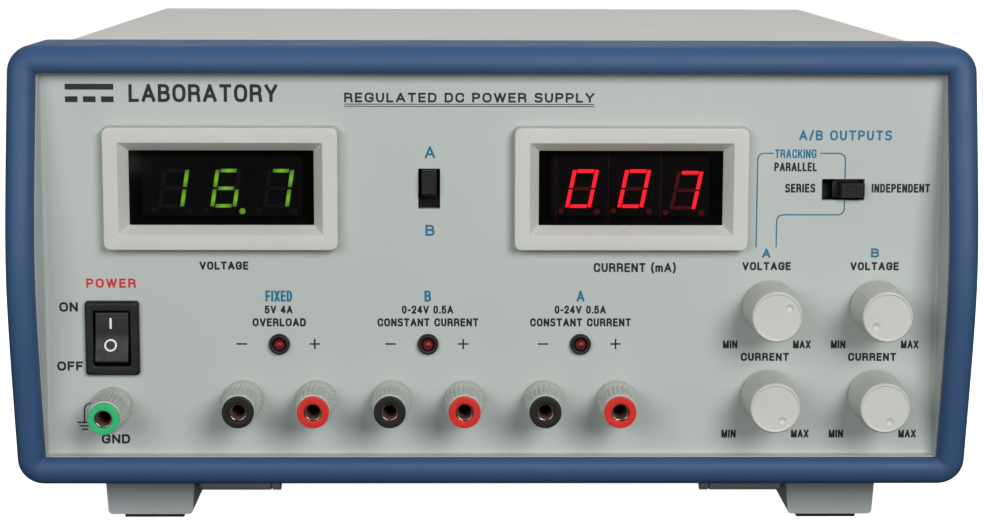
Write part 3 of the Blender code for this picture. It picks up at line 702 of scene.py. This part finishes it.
def make_printing():
    voltage_x, current_x = METERS["voltage"].x, METERS["current"].x
    black, blue, red = "black_ink", "blue_ink", "red_ink"
    caps = 2.15

    # Title with its two rules, and a generic direct-current symbol at the left
    title_x0, title_x1, title_z = -38.0, 26.0, 99.3
    prints[black].append(lettering("REGULATED DC POWER SUPPLY", title_x0, title_x1, title_z,
                                   title_z + 2.5, 0.52, 0.2))
    for z in (98.85, 98.3):
        line(black, [(title_x0, z), (title_x1, z)], 0.2)
    symbol_x, symbol_z, symbol_weight = -109.2, 100.0, 1.5
    bar_z = symbol_z + 3.2
    line(black, [(symbol_x, bar_z), (symbol_x + 12.4, bar_z)], symbol_weight)
    for dash in range(3):
        x = symbol_x + 4.6 * dash
        line(black, [(x, symbol_z), (x + 3.2, symbol_z)], symbol_weight)
    prints[black].append(lettering("LABORATORY", -93.0, -55.0, 99.3, 103.9, 0.85, 0.16))

    # Meters and their selector
    selector = middle("meter_switch_body")
    label("A", blue, selector.x + 0.2, selector.z + 9.4, 2.7, 3.1, 0.56)
    label("B", blue, selector.x + 0.2, selector.z - 10.8, 2.4, 2.9, 0.56)
    label("VOLTAGE", black, voltage_x + 0.3, 57.05, 12.6, caps, 0.5)
    label("CURRENT (mA)", black, current_x + 1.25, 56.6, 21.3, 2.4, 0.5)

    # Power switch and ground post
    power = middle("power_switch_body")
    label("POWER", red, power.x - 0.2, 52.45, 12.8, 2.45, 0.52, gap=0.24)
    label("ON", black, power.x - 11.3, 46.2, 4.8, 2.5, 0.55)
    label("OFF", black, power.x - 11.25, 30.65, 6.7, 2.45, 0.55)
    ground = middle("ground_socket")
    label("GND", black, ground.x + 0.7, 11.3, 7.4, 2.5, 0.55)
    earth_x, earth_z = ground.x - 7.35, 15.7
    earth_weight = 0.38
    line(black, [(ground.x - 5.3, 20.9), (earth_x, 20.3), (earth_x, earth_z)], earth_weight, 2.4)
    for row, half in enumerate((1.95, 1.4, 0.8)):
        z = earth_z - 0.92 * row
        line(black, [(earth_x - half, z), (earth_x + half, z)], earth_weight)

    # Outputs: the name, the rating, the lamp's meaning and the signs
    outputs = (("FIXED", 6.9, "5V 4A", 7.2, "OVERLOAD", 13.8, LEDS[0]),
               ("B", 1.7, "0-24V 0.5A", 13.3, "CONSTANT CURRENT", 26.2, LEDS[1]),
               ("A", 2.1, "0-24V 0.5A", 13.3, "CONSTANT CURRENT", 26.2, LEDS[2]))
    for title, title_wide, rating, rating_wide, meaning, meaning_wide, lamp in outputs:
        spot = middle(lamp)
        label(title, blue, spot.x - 0.05, spot.z + 12.6, title_wide, 2.95, 0.56)
        label(rating, black, spot.x - 0.1, spot.z + 9.05, rating_wide, 2.1, 0.44)
        label(meaning, black, spot.x, spot.z + 5.7, meaning_wide, caps, 0.47)
        arm, sign_weight = 1.35, 0.4
        minus, plus = spot.x - 9.75, spot.x + 9.15
        for x in (minus, plus):
            line(black, [(x - arm, spot.z), (x + arm, spot.z)], sign_weight)
        line(black, [(plus, spot.z - arm), (plus, spot.z + arm)], sign_weight, lift=0.01)

    # Knobs
    for name in KNOBS:
        row, column = name.split("_")
        spot = middle(f"{name}_knob")
        title_z = spot.z + (10.6 if row == "voltage" else 10.2)
        label(row.upper(), black, spot.x - 0.85, title_z, 12.6, caps, 0.5)
        side_z = spot.z - (10.0 if row == "voltage" else 10.25)
        shift = 0.0 if column == "a" else 0.15
        label("MIN", black, spot.x - 9.95 + shift, side_z, 3.75, caps, 0.44)
        label("MAX", black, spot.x + 8.75 + shift, side_z, 4.6, caps, 0.44)

    # Tracking switch, with the lines that lead to the two columns
    tracking = middle("tracking_switch_body")
    knob_a, knob_b = middle("voltage_a_knob"), middle("voltage_b_knob")
    label("A/B OUTPUTS", blue, tracking.x + 0.3, 91.0, 23.9, 2.6, 0.5, gap=0.22)
    label("TRACKING", blue, 77.95, 86.25, 10.7, 2.3, 0.4)
    label("PARALLEL", black, 78.0, 82.85, 11.0, 2.3, 0.46)
    label("SERIES", black, 79.3, 77.35, 7.8, 2.3, 0.48)
    label("INDEPENDENT", black, 105.3, 77.35, 15.1, 2.3, 0.48)
    label("A", blue, knob_a.x - 1.0, 60.4, 2.2, 2.4, 0.56)
    label("B", blue, knob_b.x - 0.8, 60.5, 2.1, 2.4, 0.5)
    slot_top, slot_bottom = tracking.z + 2.9, tracking.z - 2.9
    line_x = tracking.x + 0.4
    lines = (
        [(72.3, 86.36), (68.2, 86.36), (68.2, 61.9)],
        [(84.2, 86.36), (line_x, 86.36), (line_x, slot_top)],
        [(line_x, slot_bottom), (line_x, 70.42), (73.4, 70.42), (73.4, 61.9)],
    )
    for points in lines:
        line(blue, points, 0.34, cut=1.9)
    for ink, shapes in prints.items():
        place(f"printing_{ink.split('_')[0]}", joined(shapes), "case", ink, "panel_grey")


# Panel meters

SEGMENTS = {"0": "abcdef", "1": "bc", "6": "acdefg", "7": "abc"}
DIGIT_WIDTH = 6.7
DIGIT_HEIGHT = 10.1
DIGIT_PITCH = 13.5
STROKE = 0.98
PLATE = 0.1

# Each segment's two ends, as shares of the digit's width and height
SEGMENT_ENDS = {"a": ((0, 1), (1, 1)), "b": ((1, 0.5), (1, 1)), "c": ((1, 0), (1, 0.5)),
                "d": ((0, 0), (1, 0)), "e": ((0, 0), (0, 0.5)), "f": ((0, 0.5), (0, 1)),
                "g": ((0, 0.5), (1, 0.5))}


def mapped(shape, value_at):
    """A shape whose "along" map holds value_at(number of the vertex)."""
    along_map = shape.loops.layers.uv.new("along")
    shape.verts.index_update()
    for face in shape.faces:
        for loop in face.loops:
            loop[along_map].uv = (value_at(loop.vert.index), 0.5)
    return shape


def segment(letter, left, bottom, lean, y, gap):
    """One bar of a digit as a flat plate. Its "along" map runs from its middle to its ends."""
    half = STROKE / 2
    (x0, z0), (x1, z1) = [(half + x * (DIGIT_WIDTH - STROKE), half + z * (DIGIT_HEIGHT - STROKE))
                          for x, z in SEGMENT_ENDS[letter]]
    upright = x0 == x1
    inset = gap if upright else half + gap
    shares = (0.0, 0.08, 0.3, 0.5, 0.7, 0.92, 1.0)
    rows = []
    for share in shares:
        if upright:
            z = z0 + inset + (z1 - z0 - 2 * inset) * share
            z += -half * (1 - share) if letter in "ce" else half * share
            pair = [(x0 - half, z), (x0 + half, z)]
        else:
            x = x0 + inset + (x1 - x0 - 2 * inset) * share
            pair = [(x, z0 - half * 0.9), (x, z0 + half * 0.9)]
        first, second = [(left + x + z * lean, bottom + z) for x, z in pair]
        back = y + PLATE
        rows.append([(first[0], y, first[1]), (first[0], back, first[1]),
                     (second[0], back, second[1]), (second[0], y, second[1])])
    plate = loops_solid(rows, False)
    return mapped(plate, lambda number: abs(2 * shares[number // 4] - 1))


def dot(x, z, radius, y):
    """A round point of the display."""
    profile = [(0, y), (radius, y), (radius, y + PLATE), (0, y + PLATE)]
    return mapped(turned(profile, 24, (x, z)), lambda number: 0.6)


def rectangular_ring(section, centre, steps=6):
    """A ring round a rectangle from rows of (half width, half height, corner radius, y)."""
    loops = [[(x + centre[0], y, z + centre[1]) for x, z in rounded_outline(a, b, r, steps)]
             for a, b, r, y in section]
    return loops_solid(loops, True)


def make_meter(quantity, reading, point_after, lean_degrees, colour_name, gap, shift=0.0,
               last_drop=0.0):
    """A panel meter. The digits lean, and the last one may sit a little lower."""
    spot = METERS[quantity]
    centre = (spot.x, spot.z)
    low, high = span(f"{quantity}_meter_bezel")
    half_x, half_z = (high.x - low.x) / 2, (high.z - low.z) / 2
    window_x, window_z = 23.7, 9.65
    seat_x, seat_z = window_x + 1.5, window_z + 1.5
    back = 7.0
    face = low.y
    section = [
        (half_x, half_z, 1.6, -GAP),
        (half_x - 0.25, half_z - 0.25, 1.7, face),
        (half_x - 4.05, half_z - 4.1, 0.45, face),
        (window_x, window_z, 0.3, -0.6),
        (window_x, window_z, 0.3, -0.2),
        (seat_x, seat_z, 0.3, -0.2),
        (seat_x, seat_z, 0.3, back),
        (27.2, 12.7, 0.5, back),
        (27.2, 12.7, 0.5, -GAP),
    ]
    cuts = [0.05, 0.45, 0.16] + [0.05] * 6
    rounded = []
    for i, point in enumerate(section):
        around = [section[i - 1], point, section[(i + 1) % len(section)]]
        rounded += softened(around, cuts[i], 5, closed=False)[1:-1]
    place_on_case(f"{quantity}_bezel", rectangular_ring(rounded, centre), "meter_ivory",
                  f"{quantity}_meter_bezel", sharp=28)
    pane = rounded_block(window_x + 1.2, window_z + 1.2, 0.4, 0.1, 1.6, centre, 0.15)
    place_on_case(f"{quantity}_filter", pane, "smoked_filter", f"{quantity}_meter_window")
    dress(f"{quantity}_display", "display_black")

    lean = math.tan(math.radians(lean_degrees))
    digit_y = span(f"{quantity}_display")[0].y - 0.15
    bright, faint = [], []
    for place_in_row, digit in enumerate(reading):
        left = spot.x + shift + DIGIT_PITCH * (place_in_row - 1) - DIGIT_WIDTH / 2
        bottom = spot.z - 5.45 - (last_drop if place_in_row == 2 else 0.0)
        for letter in "abcdefg":
            group = bright if letter in SEGMENTS[digit] else faint
            group.append(segment(letter, left, bottom, lean, digit_y, gap))
        group = bright if place_in_row == point_after else faint
        group.append(dot(left + DIGIT_WIDTH + 1.6, bottom - 0.9, 0.78, digit_y))
        faint.append(dot(left - 0.95, bottom - 0.7, 0.7, digit_y))
    if quantity == "current":
        # The edges of the three digit blocks, which carry a faint painted glow
        half_wide, half_high, edges = 0.12, 8.6, []
        for block in (-1, 0, 1):
            x = spot.x - 5.65 + DIGIT_PITCH * block
            edges.append(box((x - half_wide, digit_y, spot.z - half_high),
                             (x + half_wide, digit_y + PLATE, spot.z + half_high)))
        place("current_block_edges", joined(edges), "case", "block_edge")
    place(f"{quantity}_lit_segments", joined(bright), "case", f"lit_{colour_name}")
    # On the red meter the unlit segments carry a faint painted glow.
    place(f"{quantity}_dark_segments", joined(faint), "case", f"dim_{colour_name}")


# Switches


def make_power_switch():
    low, high = span("power_switch_body")
    spot = middle("power_switch_body")
    flange_x, flange_z = (high.x - low.x) / 2, (high.z - low.z) / 2
    section = [
        (flange_x, flange_z, 0.9, -GAP),
        (flange_x - 0.1, flange_z - 0.1, 0.9, -1.5),
        (flange_x - 0.6, flange_z - 0.6, 0.8, low.y),
        (4.85, 7.35, 0.5, low.y),
        (4.65, 7.15, 0.5, -1.5),
        (4.6, 7.1, 0.3, 8.0),
        (6.3, 8.6, 0.4, 8.0),
        (6.3, 8.6, 0.4, -GAP),
    ]
    ring = rectangular_ring(softened(section, 0.25), (spot.x, spot.z), 5)
    place_on_case("power_switch_bezel", ring, "switch_black", "power_switch_body", sharp=30)
    back = rounded_block(6.3, 8.6, 0.4, 8.05, 18.0, (spot.x, spot.z), 0.3)
    place_on_case("power_switch_housing", back, "switch_black")
    blades = [box((spot.x - 3.1, 17.5, spot.z + h), (spot.x + 3.1, 27.0, spot.z + h + 0.8), 0.2)
              for h in (-4.5, 3.7)]
    place_on_case("power_switch_blades", joined(blades), "terminal_metal")

    # The rocker leans back at the top, pressed in at its ON end.
    pivot_y, tilt = 0.3, math.radians(-10.0)
    level = [(-2.9, 6.55), (-2.1, 0.6), (-2.1, -0.6), (-2.9, -6.55), (0.8, -6.55), (5.0, -3.0),
             (5.0, 3.0), (0.8, 6.55)]
    lean = Matrix.Translation((spot.x, pivot_y, spot.z)) @ Matrix.Rotation(tilt, 4, "X")
    body = prism(softened(level, 0.6, 5), -4.35, 4.35, along="x", edge=0.35)
    place("rocker_key", moved(body, lean), "rocker", "switch_black", "switch_black",
          ["power_rocker"], sharp=30)

    # The marks lie on the two sloping halves of its face.
    slope = math.atan2(2.9 - 2.1, 6.55 - 0.6)
    marks = []
    upper = Matrix.Translation((0, -2.1, 0.6)) @ Matrix.Rotation(slope, 4, "X")
    marks.append(moved(ribbon([(-0.3, 1.6), (-0.3, 4.4)], 0.55), upper))
    circle = [(1.4 * math.cos(math.radians(a)) - 0.3, 1.4 * math.sin(math.radians(a)) - 1.5)
              for a in range(0, 360, 10)]
    lower = Matrix.Translation((0, -2.1, -0.6)) @ Matrix.Rotation(-slope, 4, "X")
    marks.append(moved(ribbon(circle, 0.45, closed=True), lower))
    place("rocker_marks", moved(joined(marks), lean), "rocker", "white_ink", "switch_black")


def make_slider(name, body, upright):
    """A nub with fine ribs across it, on the plate that slides behind the panel."""
    spot = middle(f"{name}_slider")
    half_along, half_across, front = 3.05, 1.75, span(f"{name}_slider")[0].y
    outline = [(-half_along, 3.9), (-half_along, front + 0.4)]
    ribs = 9
    pitch = 2 * (half_along - 0.35) / ribs
    start = -half_along + 0.35
    for rib in range(ribs):
        x = start + rib * pitch
        outline += [(x, front), (x + pitch * 0.45, front), (x + pitch * 0.55, front + 0.35),
                    (x + pitch * 0.95, front + 0.35)]
    outline += [(start + ribs * pitch, front), (half_along, front + 0.4), (half_along, 3.9)]
    if upright:
        nub = prism([(y, along) for along, y in outline], -half_across, half_across, "x")
    else:
        nub = prism(outline, -half_across, half_across, "z")
    foot = (2.5, 4.4) if upright else (4.4, 2.5)
    plate = rounded_block(*foot, 0.3, 3.2, 6.4, edge=0.15)
    both = moved(joined([nub, plate]), Matrix.Translation((spot.x, 0, spot.z)))
    place(f"{name}_nub", both, body, "switch_black", "switch_black", [f"{name}_slider"],
          sharp=25, bevel=0.05)
    dress(f"{name}_body", "switch_black", 0.15)


# Knobs

POINTER_FROM_TOP = {"voltage_a": 54.0, "voltage_b": -132.0, "current_a": 152.0, "current_b": 162.0}


def make_knob(name):
    """A smooth knob with a dished pointer dot near the edge of its face."""
    spot = middle(f"{name}_potentiometer")
    face = span(f"{name}_knob")[0].y
    dish = face + 0.22
    profile = [(0, dish), (5.75, dish), (5.85, face), (6.2, face), (6.5, face + 0.5), (7.0, -1.0),
               (7.0, -0.6), (5.9, -0.6), (5.9, -5.0), (3.0, -5.0), (3.0, 8.0), (0, 8.0)]
    knob = turned_soft(profile, 0.22, sides=96)
    pointer = math.radians(90 - POINTER_FROM_TOP[name])
    centre = (3.8 * math.cos(pointer), 3.8 * math.sin(pointer))
    radius, depth = 1.05, 0.45
    ball = (radius ** 2 + depth ** 2) / (2 * depth)
    bowl = [(0, dish + depth)]
    for step in range(1, 9):
        across = radius * 1.1 * step / 8
        bowl.append((across, dish + depth - ball + math.sqrt(ball ** 2 - across ** 2)))
    bowl += [(radius * 1.1, dish - 1.5), (0, dish - 1.5)]
    shape = carved(knob, turned(bowl, 28, centre))
    place(f"{name}_dial", moved(shape, Matrix.Translation((spot.x, 0, spot.z))), f"{name}_dial",
          "knob_grey", "knob_grey", [f"{name}_knob"], sharp=24)
    dress(f"{name}_potentiometer", "pot_metal")


# Terminals and lamps

FLUTES = 24
POST_LOOK = {"ground": "cap_green", "negative": "cap_black", "positive": "cap_red"}


def flute(turn, radius, along):
    """The depth of the sleeve's flutes, which run out before its two ends."""
    start, end, fade = -4.7, -13.9, 0.7
    inside = min(start - along, along - end) / fade
    strength = max(0.0, min(1.0, inside)) * (radius > 3.4)
    return 0.19 * strength * (1 - math.cos(FLUTES * turn))


def make_terminal(name):
    centre = centre_of(f"{name}_socket")
    end = span(f"{name}_cap")[0].y
    tube_end = span(f"{name}_socket")[1].y
    ring_look = POST_LOOK[name.split("_")[-1]]
    outer = [(4.95, -3.3), (5.1, -3.6), (5.1, -4.3), (4.98, -4.7), (4.94, -5.1), (4.88, -6.6),
             (4.82, -8.2), (4.74, -9.8), (4.65, -11.4), (4.56, -12.8), (4.48, -13.6), (4.4, -14.2),
             (4.28, -14.6)]
    sleeve = softened([(2.65, -3.3), *outer, (2.65, -14.6)], 0.12, 2)
    place(f"{name}_sleeve", turned(sleeve, FLUTES * 8, centre, depth_at=flute),
          f"{name}_screw_cap", "cap_grey", None, [f"{name}_cap"], sharp=30)
    rim = end + 1.0
    ring = [(2.68, -14.65), (4.08, -14.65), (4.05, end), (2.32, end), (2.26, rim - 0.2),
            (2.68, rim - 0.15)]
    place(f"{name}_ring", turned_soft(ring, 0.16, sides=64, centre=centre),
          f"{name}_screw_cap", ring_look, ring_look)
    nut_y = PANEL_THICK + GAP
    tube = [(0, -0.8), (1.95, -0.8), (1.95, rim + 0.3), (2.06, rim), (2.28, rim),
            (2.38, rim + 0.15), (2.38, -2.6), (3.7, -2.6), (3.7, nut_y), (5.4, nut_y),
            (5.4, 5.0), (2.0, 5.0), (2.0, tube_end), (0, tube_end)]
    place_on_case(f"{name}_stud", turned_soft(tube, 0.08, sides=48, centre=centre),
                  "terminal_metal", f"{name}_socket")
    lining = [(0, -1.2), (1.8, -1.2), (1.8, rim + 0.4), (1.93, rim + 0.4), (1.93, -0.9), (0, -0.9)]
    place(f"{name}_bore", turned(lining, 48, centre), "case", "bore_shadow", "terminal_metal")
    collar = [(2.45, -3.05), (4.95, -3.05), (5.15, -2.6), (5.2, -GAP), (2.45, -GAP)]
    place(f"{name}_collar", turned_soft(collar, 0.25, sides=64, centre=centre), "case",
          "cap_grey", None)


def make_lamp(node):
    centre = centre_of(node)
    low, high = span(node)
    dome = [(0, low.y), (0.5, low.y + 0.06), (0.95, low.y + 0.3), (1.28, low.y + 0.7),
            (1.45, low.y + 1.3), (1.48, -0.3), (1.48, high.y), (0, high.y)]
    place_on_case(f"{node}_lens", turned(softened(dome, 0.2, 3, closed=False), 40, centre),
                  "lamp_red", node, sharp=60)
    clip = [(1.55, -0.9), (1.75, -1.45), (2.2, -1.6), (2.6, -1.35), (2.72, -0.7), (2.72, -0.05),
            (2.3, -0.05), (2.3, 3.0), (1.55, 3.0)]
    place(f"{node}_clip", turned_soft(clip, 0.12, sides=48, centre=centre), "case", "lamp_clip",
          "switch_black")


# Case, feet, inside and rear

VENT_COUNT = 14
VENT_START = 150.0
VENT_PITCH = 7.5
VENT_Z = 54.0


def make_cover():
    low, high = span("top_cover")
    half = high.x
    sheet = 1.2
    bend = FRAME_CORNER - CASE_INSET

    def side_path(inset):
        radius = bend - inset
        path = [(half - inset, low.z)]
        for step in range(13):
            turn = math.radians(90 * step / 12)
            path.append((half - bend + radius * math.cos(turn),
                         high.z - bend + radius * math.sin(turn)))
        return path + [(-x, z) for x, z in reversed(path)]

    shell = prism(side_path(0) + side_path(sheet)[::-1], low.y, high.y)
    cutters = []
    for side in (-1, 1):
        ends = sorted((side * half - 4, side * half + 4))
        notch = [(low.y - 1, 0.0), (FRAME_REAR + GAP, 0.0), (FRAME_REAR + GAP, FRAME_CORNER + 1),
                 (low.y - 1, FRAME_CORNER + 1)]
        cutters.append(prism(notch, *ends, along="x"))
        for vent in range(VENT_COUNT):
            y = VENT_START + VENT_PITCH * vent
            outline = [(y + a, VENT_Z + b) for a, b in rounded_outline(1.6, 20.0, 1.55, 5)]
            cutters.append(prism(outline, *ends, along="x"))
    place_on_case("cover_shell", carved(shell, joined(cutters)), "cover_paint", "top_cover",
                  sharp=35, bevel=0.18)


def screw_head(radius, height):
    """A domed cross-head screw whose head stands out along +Y from y = 0."""
    dome = [(0, height), (radius * 0.55, height * 0.9), (radius * 0.85, height * 0.55),
            (radius, 0.0), (radius * 0.5, -0.6), (0, -0.6)]
    head = turned(softened(dome, 0.2, 3, closed=False), 32)
    arm, thick = radius * 0.55, radius * 0.16
    cross = [(arm, thick), (thick, thick), (thick, arm), (-thick, arm), (-thick, thick),
             (-arm, thick), (-arm, -thick), (-thick, -thick), (-thick, -arm), (thick, -arm),
             (thick, -thick), (arm, -thick)]
    return carved(head, prism(cross, height * 0.35, height + 1))


def make_screws():
    side_x = span("top_cover")[1].x - 0.05
    side_screws = []
    for side in (-1, 1):
        for y in (44.0, 246.0):
            aim = Matrix.Rotation(math.radians(-90 * side), 4, "Z")
            spot = Matrix.Translation((side * side_x, y, 14.0))
            side_screws.append(moved(screw_head(3.0, 1.5), spot @ aim))
    place("cover_screws", joined(side_screws), "case", "screw_zinc", "chassis_steel", sharp=40)
    rear_face = span("rear_panel")[1].y
    inlet = middle("power_inlet")
    inlet_face = span("power_inlet")[1].y
    rear_screws = [moved(screw_head(2.9, 1.4), Matrix.Translation((x, rear_face, z)))
                   for x in (-113.0, 113.0) for z in (12.0, 100.0)]
    rear_screws += [moved(screw_head(2.6, 1.2), Matrix.Translation((x, inlet_face, inlet.z)))
                    for x in (inlet.x - 20.0, inlet.x + 20.0)]
    place("rear_screws", joined(rear_screws), "case", "screw_zinc", "chassis_steel", sharp=40)


def dress_the_rest():
    """The CAD nodes that show as they are: each one's look and the width of its round edges."""
    rest = [("chassis_base", "chassis_steel", 0.0), ("rear_panel", "chassis_steel", 0.2),
            ("transformer", "transformer_iron", 0.5), ("main_circuit_board", "board_green", 0.0),
            ("filter_capacitor_a", "capacitor_sleeve", 0.0),
            ("filter_capacitor_b", "capacitor_sleeve", 0.0), ("heat_sink", "sink_black", 0.2),
            ("power_inlet", "switch_black", 0.25), ("fuse_holder", "switch_black", 0.2),
            ("fuse_cap", "switch_black", 0.25)]
    for word in ("left", "right"):
        rest.append((f"{word}_tilt_leg", "foot_grey", 0.3))
        for end in ("front", "rear"):
            rest.append((f"{end}_{word}_foot", "foot_grey", 0.35))
            rest.append((f"{end}_{word}_pad", "rubber_black", 0.3))
    for node, look_name, bevel in rest:
        dress(node, look_name, bevel)


# ---------------------------------------------------------------- studio


def area_light(name, spot, target, width, height, power):
    light = bpy.data.lights.new(name, "AREA")
    light.shape = "RECTANGLE"
    light.size = width
    light.size_y = height
    light.energy = power
    item = bpy.data.objects.new(name, light)
    item.location = spot
    item.rotation_euler = (Vector(target) - Vector(spot)).to_track_quat("-Z", "Y").to_euler()
    bpy.context.scene.collection.objects.link(item)
    return item


SURROUNDINGS = 0.05
FLOOR_GLOW = 0.97


def make_studio():
    scene = bpy.context.scene
    world = bpy.data.worlds.new("studio")
    world.use_nodes = True
    tree = world.node_tree
    white = (1.0, 1.0, 1.0, 1.0)
    surroundings = set_inputs(tree, tree.nodes["Background"],
                              {"Color": white, "Strength": SURROUNDINGS})
    backdrop = new_node(tree, "Background", {"Color": white})
    path = tree.nodes.new("ShaderNodeLightPath")
    either = new_node(tree, "MixShader", {"Fac": path.outputs["Is Camera Ray"],
                                          1: surroundings.outputs["Background"],
                                          2: backdrop.outputs["Background"]})
    set_inputs(tree, tree.nodes["World Output"], {"Surface": either.outputs["Shader"]})
    scene.world = world
    scene.view_settings.view_transform = "Standard"

    floor_shape = bmesh.new()
    bmesh.ops.create_grid(floor_shape, x_segments=1, y_segments=1, size=6.0)
    floor = as_object("floor", floor_shape)
    paper = finish("paper", (0.9, 0.9, 0.9, 1.0), 0.9, mottle=0.004, speck=0.002)
    set_inputs(paper.node_tree, paper.node_tree.nodes["Principled BSDF"],
               {"Emission Color": white, "Emission Strength": FLOOR_GLOW})
    floor.data.materials.append(paper)
    floor.visible_diffuse = False
    floor.visible_glossy = False

    # Soft boxes: the main one in front at the right, weaker ones at the left, low, behind and
    # overhead. The low one and the overhead one don't show in reflections.
    target = Vector((0.0, PANEL_Y * MM, MIDDLE_Z * MM))
    boxes = (
        ("main_box", (0.42, -0.95, 0.45), 0.45, 0.45, 8.2, True),
        ("fill_box", (-0.5, -0.95, 0.35), 0.5, 0.5, 4.2, True),
        ("low_box", (0.0, -1.0, -0.01), 0.7, 0.08, 0.7, False),
        ("back_box", (0.0, 1.2, 0.9), 1.6, 0.7, 5.5, True),
        ("top_box", (0.0, 0.25, 1.0), 1.0, 0.5, 3.6, False),
    )
    for name, offset, width, height, power, mirrored in boxes:
        box_light = area_light(name, target + Vector(offset), target, width, height, power)
        box_light.visible_glossy = mirrored


CAMERA_SPOT = (-0.00785, -0.72625, 0.16242)
CAMERA_ANGLES = (0.75, 8.54, 0.15)
LENS_LENGTH = 84.88


def make_camera():
    """The viewpoint: a little left of the middle, above, turned slightly to the right."""
    turn, pitch, roll = (math.radians(angle) for angle in CAMERA_ANGLES)
    forward = Vector((math.sin(turn) * math.cos(pitch), math.cos(turn) * math.cos(pitch),
                      -math.sin(pitch)))
    level = Vector((math.cos(turn), -math.sin(turn), 0.0))
    above = level.cross(forward)
    right = math.cos(roll) * level + math.sin(roll) * above
    up = -math.sin(roll) * level + math.cos(roll) * above
    lens = bpy.data.cameras.new("camera")
    lens.sensor_width = 36.0
    lens.lens = LENS_LENGTH
    lens.clip_start = 0.01
    camera = bpy.data.objects.new("camera", lens)
    rows = Matrix((right, up, -forward)).transposed()
    camera.matrix_world = Matrix.Translation(CAMERA_SPOT) @ rows.to_4x4()
    bpy.context.scene.collection.objects.link(camera)
    bpy.context.scene.camera = camera


make_camera()
make_studio()
make_front_frame()
make_control_panel()
make_printing()
make_meter("voltage", "167", 1, 9.0, "green", gap=0.3, shift=0.15)
make_meter("current", "007", None, 11.5, "red", gap=0.22, last_drop=0.4)
make_power_switch()
make_slider("meter_switch", "meter_slider", True)
make_slider("tracking_switch", "tracking_slider", False)
for knob_name in KNOBS:
    make_knob(knob_name)
for post_name in POSTS:
    make_terminal(post_name)
for lamp_name in LEDS:
    make_lamp(lamp_name)
make_cover()
make_screws()
dress_the_rest()
